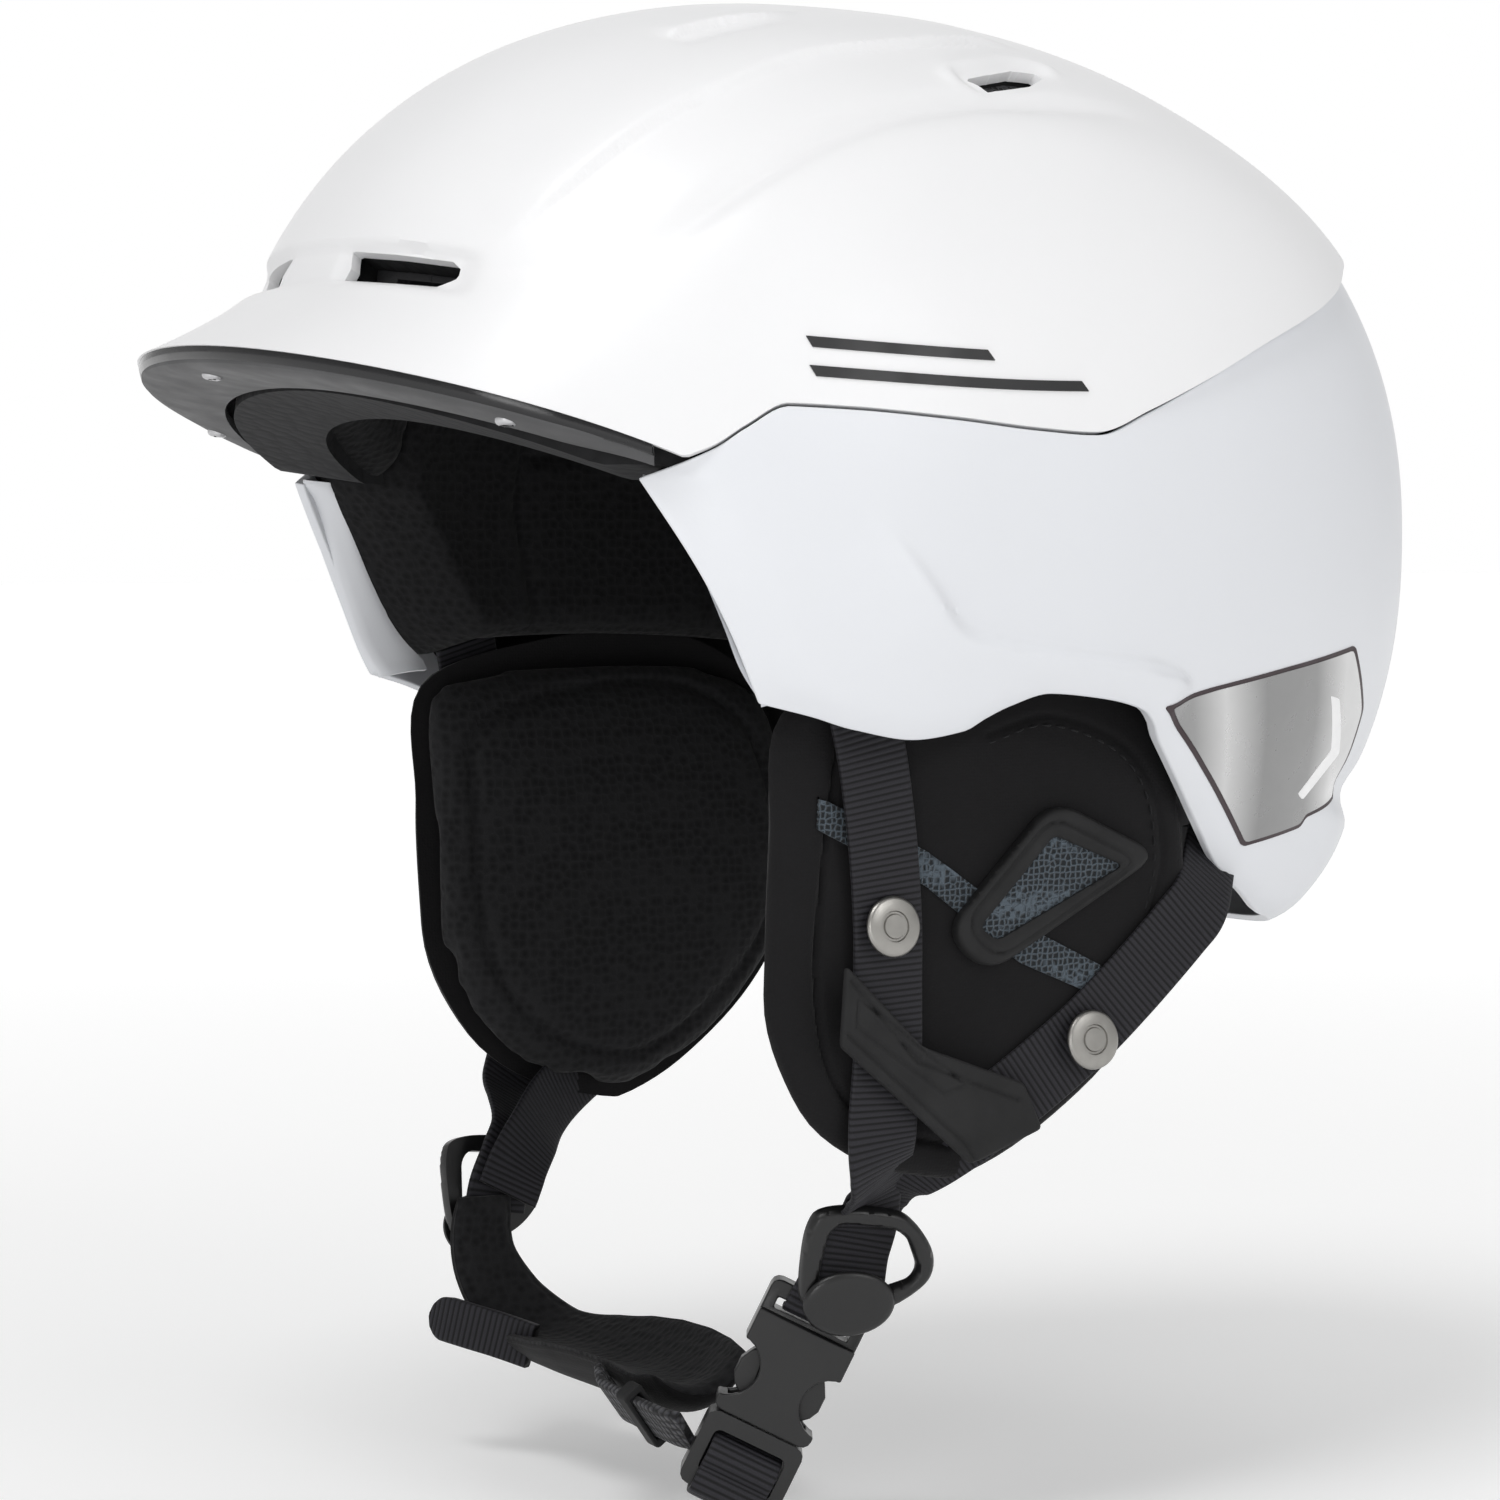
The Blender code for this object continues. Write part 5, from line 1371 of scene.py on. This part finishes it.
# The webbing's (Y, Z) route in millimetres and facing: round the socket's bar, and up to the divider.
LOOP_ROUTE = [(34.9, -3), (35, 1), (36.6, 4.2), (39.4, 5.4), (42.4, 4.4), (44.6, 5.2), (47.2, 4.6),
              (48.6, 1), (48.2, -3), (45.6, -5.6), (40, -6), (33, -5.8)]
LOOP_FACING = [(-1, 0.1), (-1, 0.4), (-0.6, 0.8), (0, 1), (0.2, 1), (0.2, 1), (0.7, 0.7), (1, 0.1),
               (0.9, -0.4), (0.4, -0.9), (0, -1), (0, -1)]
LINK_ROUTE = [(4.8, -1.0), (5.0, 2.0), (3.6, 3.4), (0.6, 3.5), (-3, 4.4), (-7, 5.6)]
LINK_FACING = [(1, 0.3), (0.7, 0.7), (0.2, 1), (0, 1), (0, 1), (0, 1)]


def buckle_frame():
    out = (BUCKLE_OUT - BUCKLE_OUT.project(BUCKLE_ALONG)).normalized()
    across = BUCKLE_ALONG.cross(out).normalized()
    return Matrix.Translation(BUCKLE_TOP) @ Matrix((across, BUCKLE_ALONG, out)).transposed().to_4x4()


def make_buckle():
    for node, name, width in (("buckle_female", "buckle_socket", 0.9), ("buckle_male", "buckle_plug", 0.9),
                              ("buckle_guide", "buckle_tongue", 0.3)):
        softened(node, name, "acetal_black", width * MM)
    for label in ("front", "rear"):
        softened(f"latch_prong_{label}", f"latch_arm_{label}", "acetal_black", 0.5 * MM, f"prong_{label}")
    at = buckle_frame()
    turn = at.to_3x3()
    for node, points, facing, width in (("buckle_webbing", LOOP_ROUTE, LOOP_FACING, STRAP_WIDTH),
                                        ("buckle_link", LINK_ROUTE, LINK_FACING, LINK_WIDTH)):
        path = [tuple(at @ Vector((0, y * MM, z * MM))) for y, z in points]
        normals = [tuple(turn @ Vector((0, y, z))) for y, z in facing]
        piece = webbing(f"{node}_woven", path, normals, width, STRAP, "webbing")
        place(piece, [node])


# ---- chin strap: the pad's route from the right divider to the buckle, with its widths and cupping ----
CHIN_ROUTE = [(-58.5, -36, -232), (-59.5, -36.5, -240), (-58.5, -35.5, -248), (-54.5, -32.5, -256),
              (-46, -29, -262.5), (-30, -26.5, -265.5), (-14, -25, -266), (4, -24, -266),
              (18, -24.5, -265.5), (30, -26, -263.5)]
CHIN_NORMALS = [(-1, -0.2, 0.1), (-1, -0.1, -0.1), (-0.9, -0.1, -0.35), (-0.7, 0, -0.7),
                (-0.35, 0.1, -0.93), (-0.1, 0.18, -0.98), (0, 0.2, -0.98), (0, 0.2, -0.98),
                (0.05, 0.18, -0.98), (0.1, 0.1, -0.98)]
CHIN_WIDTHS = [15, 16, 19, 22, 26, 29, 29, 28, 26, 22]
CHIN_CUPS = [0, 0, 1, 3, 6, 8, 9, 9, 8, 6]
CHIN_PAD_HALF = 3.4 * MM
TAIL_ROUTE = [(-36, -35, -263), (-42, -40, -261), (-47.5, -44.5, -259.5), (-53, -47.5, -258.5),
              (-58, -49, -258)]
TAB_ROUTE = [(6, -37, -264), (12, -39.4, -266), (18, -39.5, -266.6), (28, -39.1, -267.4), (36, -38.5, -268),
             (41, -36.8, -268.4)]
TAIL_FACE = (0.1, -1, 0.2)
TAB_FACE = (0, -0.8, -0.6)


def make_chin_pad():
    """The pad's outer cloth and its lining, as two closed halves that meet in the middle."""
    count = 70
    path = spline(np.array(CHIN_ROUTE) * MM, count)
    across, out = ribbon_frame(path, spline(CHIN_NORMALS, count))
    stations = np.linspace(0, len(CHIN_ROUTE) - 1, count)
    widths = np.interp(stations, range(len(CHIN_ROUTE)), CHIN_WIDTHS) * MM / 2
    share = np.sin(np.linspace(-pi / 2, pi / 2, 33))
    ends = shoulder(np.linspace(-1, 1, count), 16, 0.04)
    half = CHIN_PAD_HALF * shoulder(share, 3, 0.05)[None] * ends[:, None]
    groove = 0.3 * MM * bump_at(np.abs(share), 0.8, 0.05)[None]
    ripple = 0.25 * MM * np.sin(np.linspace(0, 22, count))[:, None] * (1 - share[None] ** 2)
    cups = np.interp(stations, range(len(CHIN_ROUTE)), CHIN_CUPS) * MM
    flat = path[:, None] + across[:, None] * (widths[:, None] * share[None])[..., None]
    flat = flat - out[:, None] * (cups[:, None] * share[None] ** 2)[..., None]
    for name, sign, nodes, cloth in (("cloth", 1, ["chin_pad"], "ear_cover_black"),
                                     ("lining", -1, [], "ear_knit")):
        face = flat + sign * out[:, None] * (half - groove + ripple * sign)[..., None]
        back = flat + sign * 0.05 * MM * out[:, None]
        pad = solid_between(f"chin_pad_{name}", face, back, cloth, angle=75)
        place(pad, nodes)


def make_chin_ends():
    """The loose end of the webbing, and the elastic tab with its sliding ring."""
    tail = webbing("strap_tail_woven", np.array(TAIL_ROUTE) * MM, [TAIL_FACE] * len(TAIL_ROUTE),
                   10 * MM, 3.4 * MM, "webbing", edge=0.7, end_round=True)
    place(tail, ["strap_tail"])
    tab = webbing("elastic_tab_braided", np.array(TAB_ROUTE) * MM, [TAB_FACE] * len(TAB_ROUTE), 11 * MM,
                  2 * MM, "elastic", ribs=False)
    place(tab, ["elastic_tab"])
    softened("elastic_keeper", "elastic_keeper_ring", "soft_rubber", 0.5 * MM, "keeper_ring")


# ---- fit dial and goggle clip ----
DIAL_CENTER = (0, 105 * MM, -150 * MM)
DIAL_PROFILE = [(0.0, 14.6), (6, 14.4), (8.5, 14.7), (11.5, 14.9), (13.2, 14.4), (14, 13.4), (14, 8),
                (13.6, 7)]
GRIP_RADIUS = 11
GRIP_COUNT = 18
FIT_PARTS = (("cradle", "cradle_moulded", 0.6, "cradle"),
             ("fit_band_left", "fit_band_moulded_left", 0.3, "band_left"),
             ("fit_band_right", "fit_band_moulded_right", 0.3, "band_right"),
             ("dial_shaft", "dial_shaft_moulded", 0.2, "dial"),
             ("clip_base", "clip_lugs", 0.4, "helmet"),
             ("goggle_clip", "goggle_clip_lever", 0.5, "clip_lever"))
NAPE_ANGLES = (64, 116)
NAPE_HEIGHTS = (-140, -114)
NAPE_RADIUS = 67.2
NAPE_AXIS_Y = 36


def make_fit_system():
    at = local_at(Matrix.Translation(DIAL_CENTER) @ Matrix.Rotation(-pi / 2, 4, "X"))
    turn = np.linspace(0, 2 * pi, 144, endpoint=False)
    scallop = 1 - 0.05 * (0.5 + 0.5 * np.cos(GRIP_COUNT * turn)) ** 2
    rows, back = [], []
    for radius, height in DIAL_PROFILE:
        grip = radius * (scallop if radius > GRIP_RADIUS else 1)
        rows.append(oval_ring(at, turn, (grip, grip), height))
        back.append(oval_ring(at, turn, (0.93 * radius, 0.93 * radius), 6.6))
    dial = solid_between("fit_dial_grip", np.array(rows), np.array(back), "soft_rubber",
                         wrap=True, pole=True, angle=50)
    place(dial, ["fit_dial"], "dial")
    for node, name, width, body in FIT_PARTS:
        softened(node, name, "fit_plastic", width * MM, body)
    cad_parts["clip_pin"].data.materials[0] = MATERIALS["pin_steel"]


def make_nape_pad():
    (first, last), (low, high) = NAPE_ANGLES, NAPE_HEIGHTS
    angle, z = np.meshgrid(np.linspace(first, last, 60), np.linspace(low, high, 28))
    rise = pillow([(first, low), (last, low), (last, high), (first, high)], 5)(angle, z)
    rise = rise - 0.25 * bump_at(np.abs(angle - 90), 9, 0.8)
    turn = np.radians(angle)
    grids = [np.stack([radius * np.cos(turn), NAPE_AXIS_Y + radius * np.sin(turn), z], -1) * MM
             for radius in (NAPE_RADIUS - 4.0 * rise, NAPE_RADIUS + 3.6 * rise)]
    pad = solid_between("nape_pad_knitted", *grids, "padding_black", angle=75)
    place(pad, ["nape_pad"], "cradle")


# ---- stage ----
VIEW_TARGET = Vector((0, 1, -128)) * MM
VIEW_AZIMUTH = 61
VIEW_ELEVATION = 3
VIEW_DISTANCE = 1.0
VIEW_LENS = 109
SENSOR_WIDTH = 36
# Each light's name, angles round and above, distance and width in metres, and power in watts.
LIGHTS = (("key", 30, 58, 1.7, 0.8, 11), ("side", 105, 25, 1.9, 0.9, 5.6),
          ("low_fill", 45, 6, 1.9, 0.5, 3.5))


def toward(azimuth, elevation):
    """The direction from the object at an angle round it, from the front to its left, and above it."""
    a, e = radians(azimuth), radians(elevation)
    return Vector((sin(a) * cos(e), -cos(a) * cos(e), sin(e)))


def make_floor():
    z = cad_box[0][2] - 0.3 * MM
    bpy.ops.mesh.primitive_plane_add(size=24, location=(0, 0, z))
    floor = bpy.context.object
    floor.name = "floor"
    look = Look("floor_paint", (0.97, 0.97, 0.97), 0.7, Emission_Color=(1, 1, 1, 1))
    look.tint(look.noise(3, 2), 0.99, 1.0)
    # Painted light: the floor glows, more strongly further from the middle, so its far part fades into the
    # white backdrop.
    away = look.add("VectorMath", {0: look.coordinates.outputs["Object"]}, operation="LENGTH")
    painted_glow = look.ramp(away.outputs["Value"], 0.2, 1.6, 0.12, 0.5)
    look.links.new(painted_glow, look.shader.inputs["Emission Strength"])
    floor.data.materials.append(look.material)


def add_light(name, azimuth, elevation, distance, size, power):
    direction = toward(azimuth, elevation)
    data = bpy.data.lights.new(name, "AREA")
    data.shape = "DISK"
    data.size = size
    data.energy = power
    light = bpy.data.objects.new(name, data)
    light.location = VIEW_TARGET + direction * distance
    light.rotation_euler = direction.to_track_quat("Z", "Y").to_euler()
    bpy.context.scene.collection.objects.link(light)


def make_studio_walls():
    """A dim room with a white backdrop on the far side of the object."""
    world = bpy.data.worlds.new("studio")
    world.use_nodes = True
    nodes, links = world.node_tree.nodes, world.node_tree.links
    toward_backdrop = nodes.new("ShaderNodeVectorMath")
    toward_backdrop.operation = "DOT_PRODUCT"
    toward_backdrop.inputs[1].default_value = -toward(VIEW_AZIMUTH, 0)
    links.new(nodes.new("ShaderNodeTexCoord").outputs["Generated"], toward_backdrop.inputs[0])
    strength = nodes.new("ShaderNodeMapRange")
    for socket, value in (("From Min", 0.80), ("From Max", 0.94), ("To Min", 0.5), ("To Max", 1.0)):
        strength.inputs[socket].default_value = value
    links.new(toward_backdrop.outputs["Value"], strength.inputs["Value"])
    background = nodes["Background"]
    background.inputs["Color"].default_value = (1, 1, 1, 1)
    links.new(strength.outputs["Result"], background.inputs["Strength"])
    return world


def make_stage():
    make_floor()
    scene = bpy.context.scene
    scene.world = make_studio_walls()
    scene.view_settings.view_transform = "Standard"
    for light in LIGHTS:
        add_light(*light)

    camera = bpy.data.cameras.new("photo_view")
    camera.lens = VIEW_LENS
    camera.sensor_width = SENSOR_WIDTH
    holder = bpy.data.objects.new("photo_view", camera)
    direction = toward(VIEW_AZIMUTH, VIEW_ELEVATION)
    holder.location = VIEW_TARGET + direction * VIEW_DISTANCE
    holder.rotation_euler = direction.to_track_quat("Z", "Y").to_euler()
    scene.collection.objects.link(holder)
    scene.camera = holder


make_upper_shell()
make_lower_shell()
make_graphics()
make_foam()
make_vent_parts()
make_brim_plate()
make_brim_screws()
make_inner_pads()
make_crown_pad()
for side, label in SIDES:
    make_ear_cushion(side, label)
    make_ear_cover(side, label)
    make_ear_opening(side, label)
    make_strap_keeper(side, label)
    make_straps(side, label)
    make_divider(side, label)
make_buckle()
make_chin_pad()
make_chin_ends()
make_fit_system()
make_nape_pad()
make_stage()
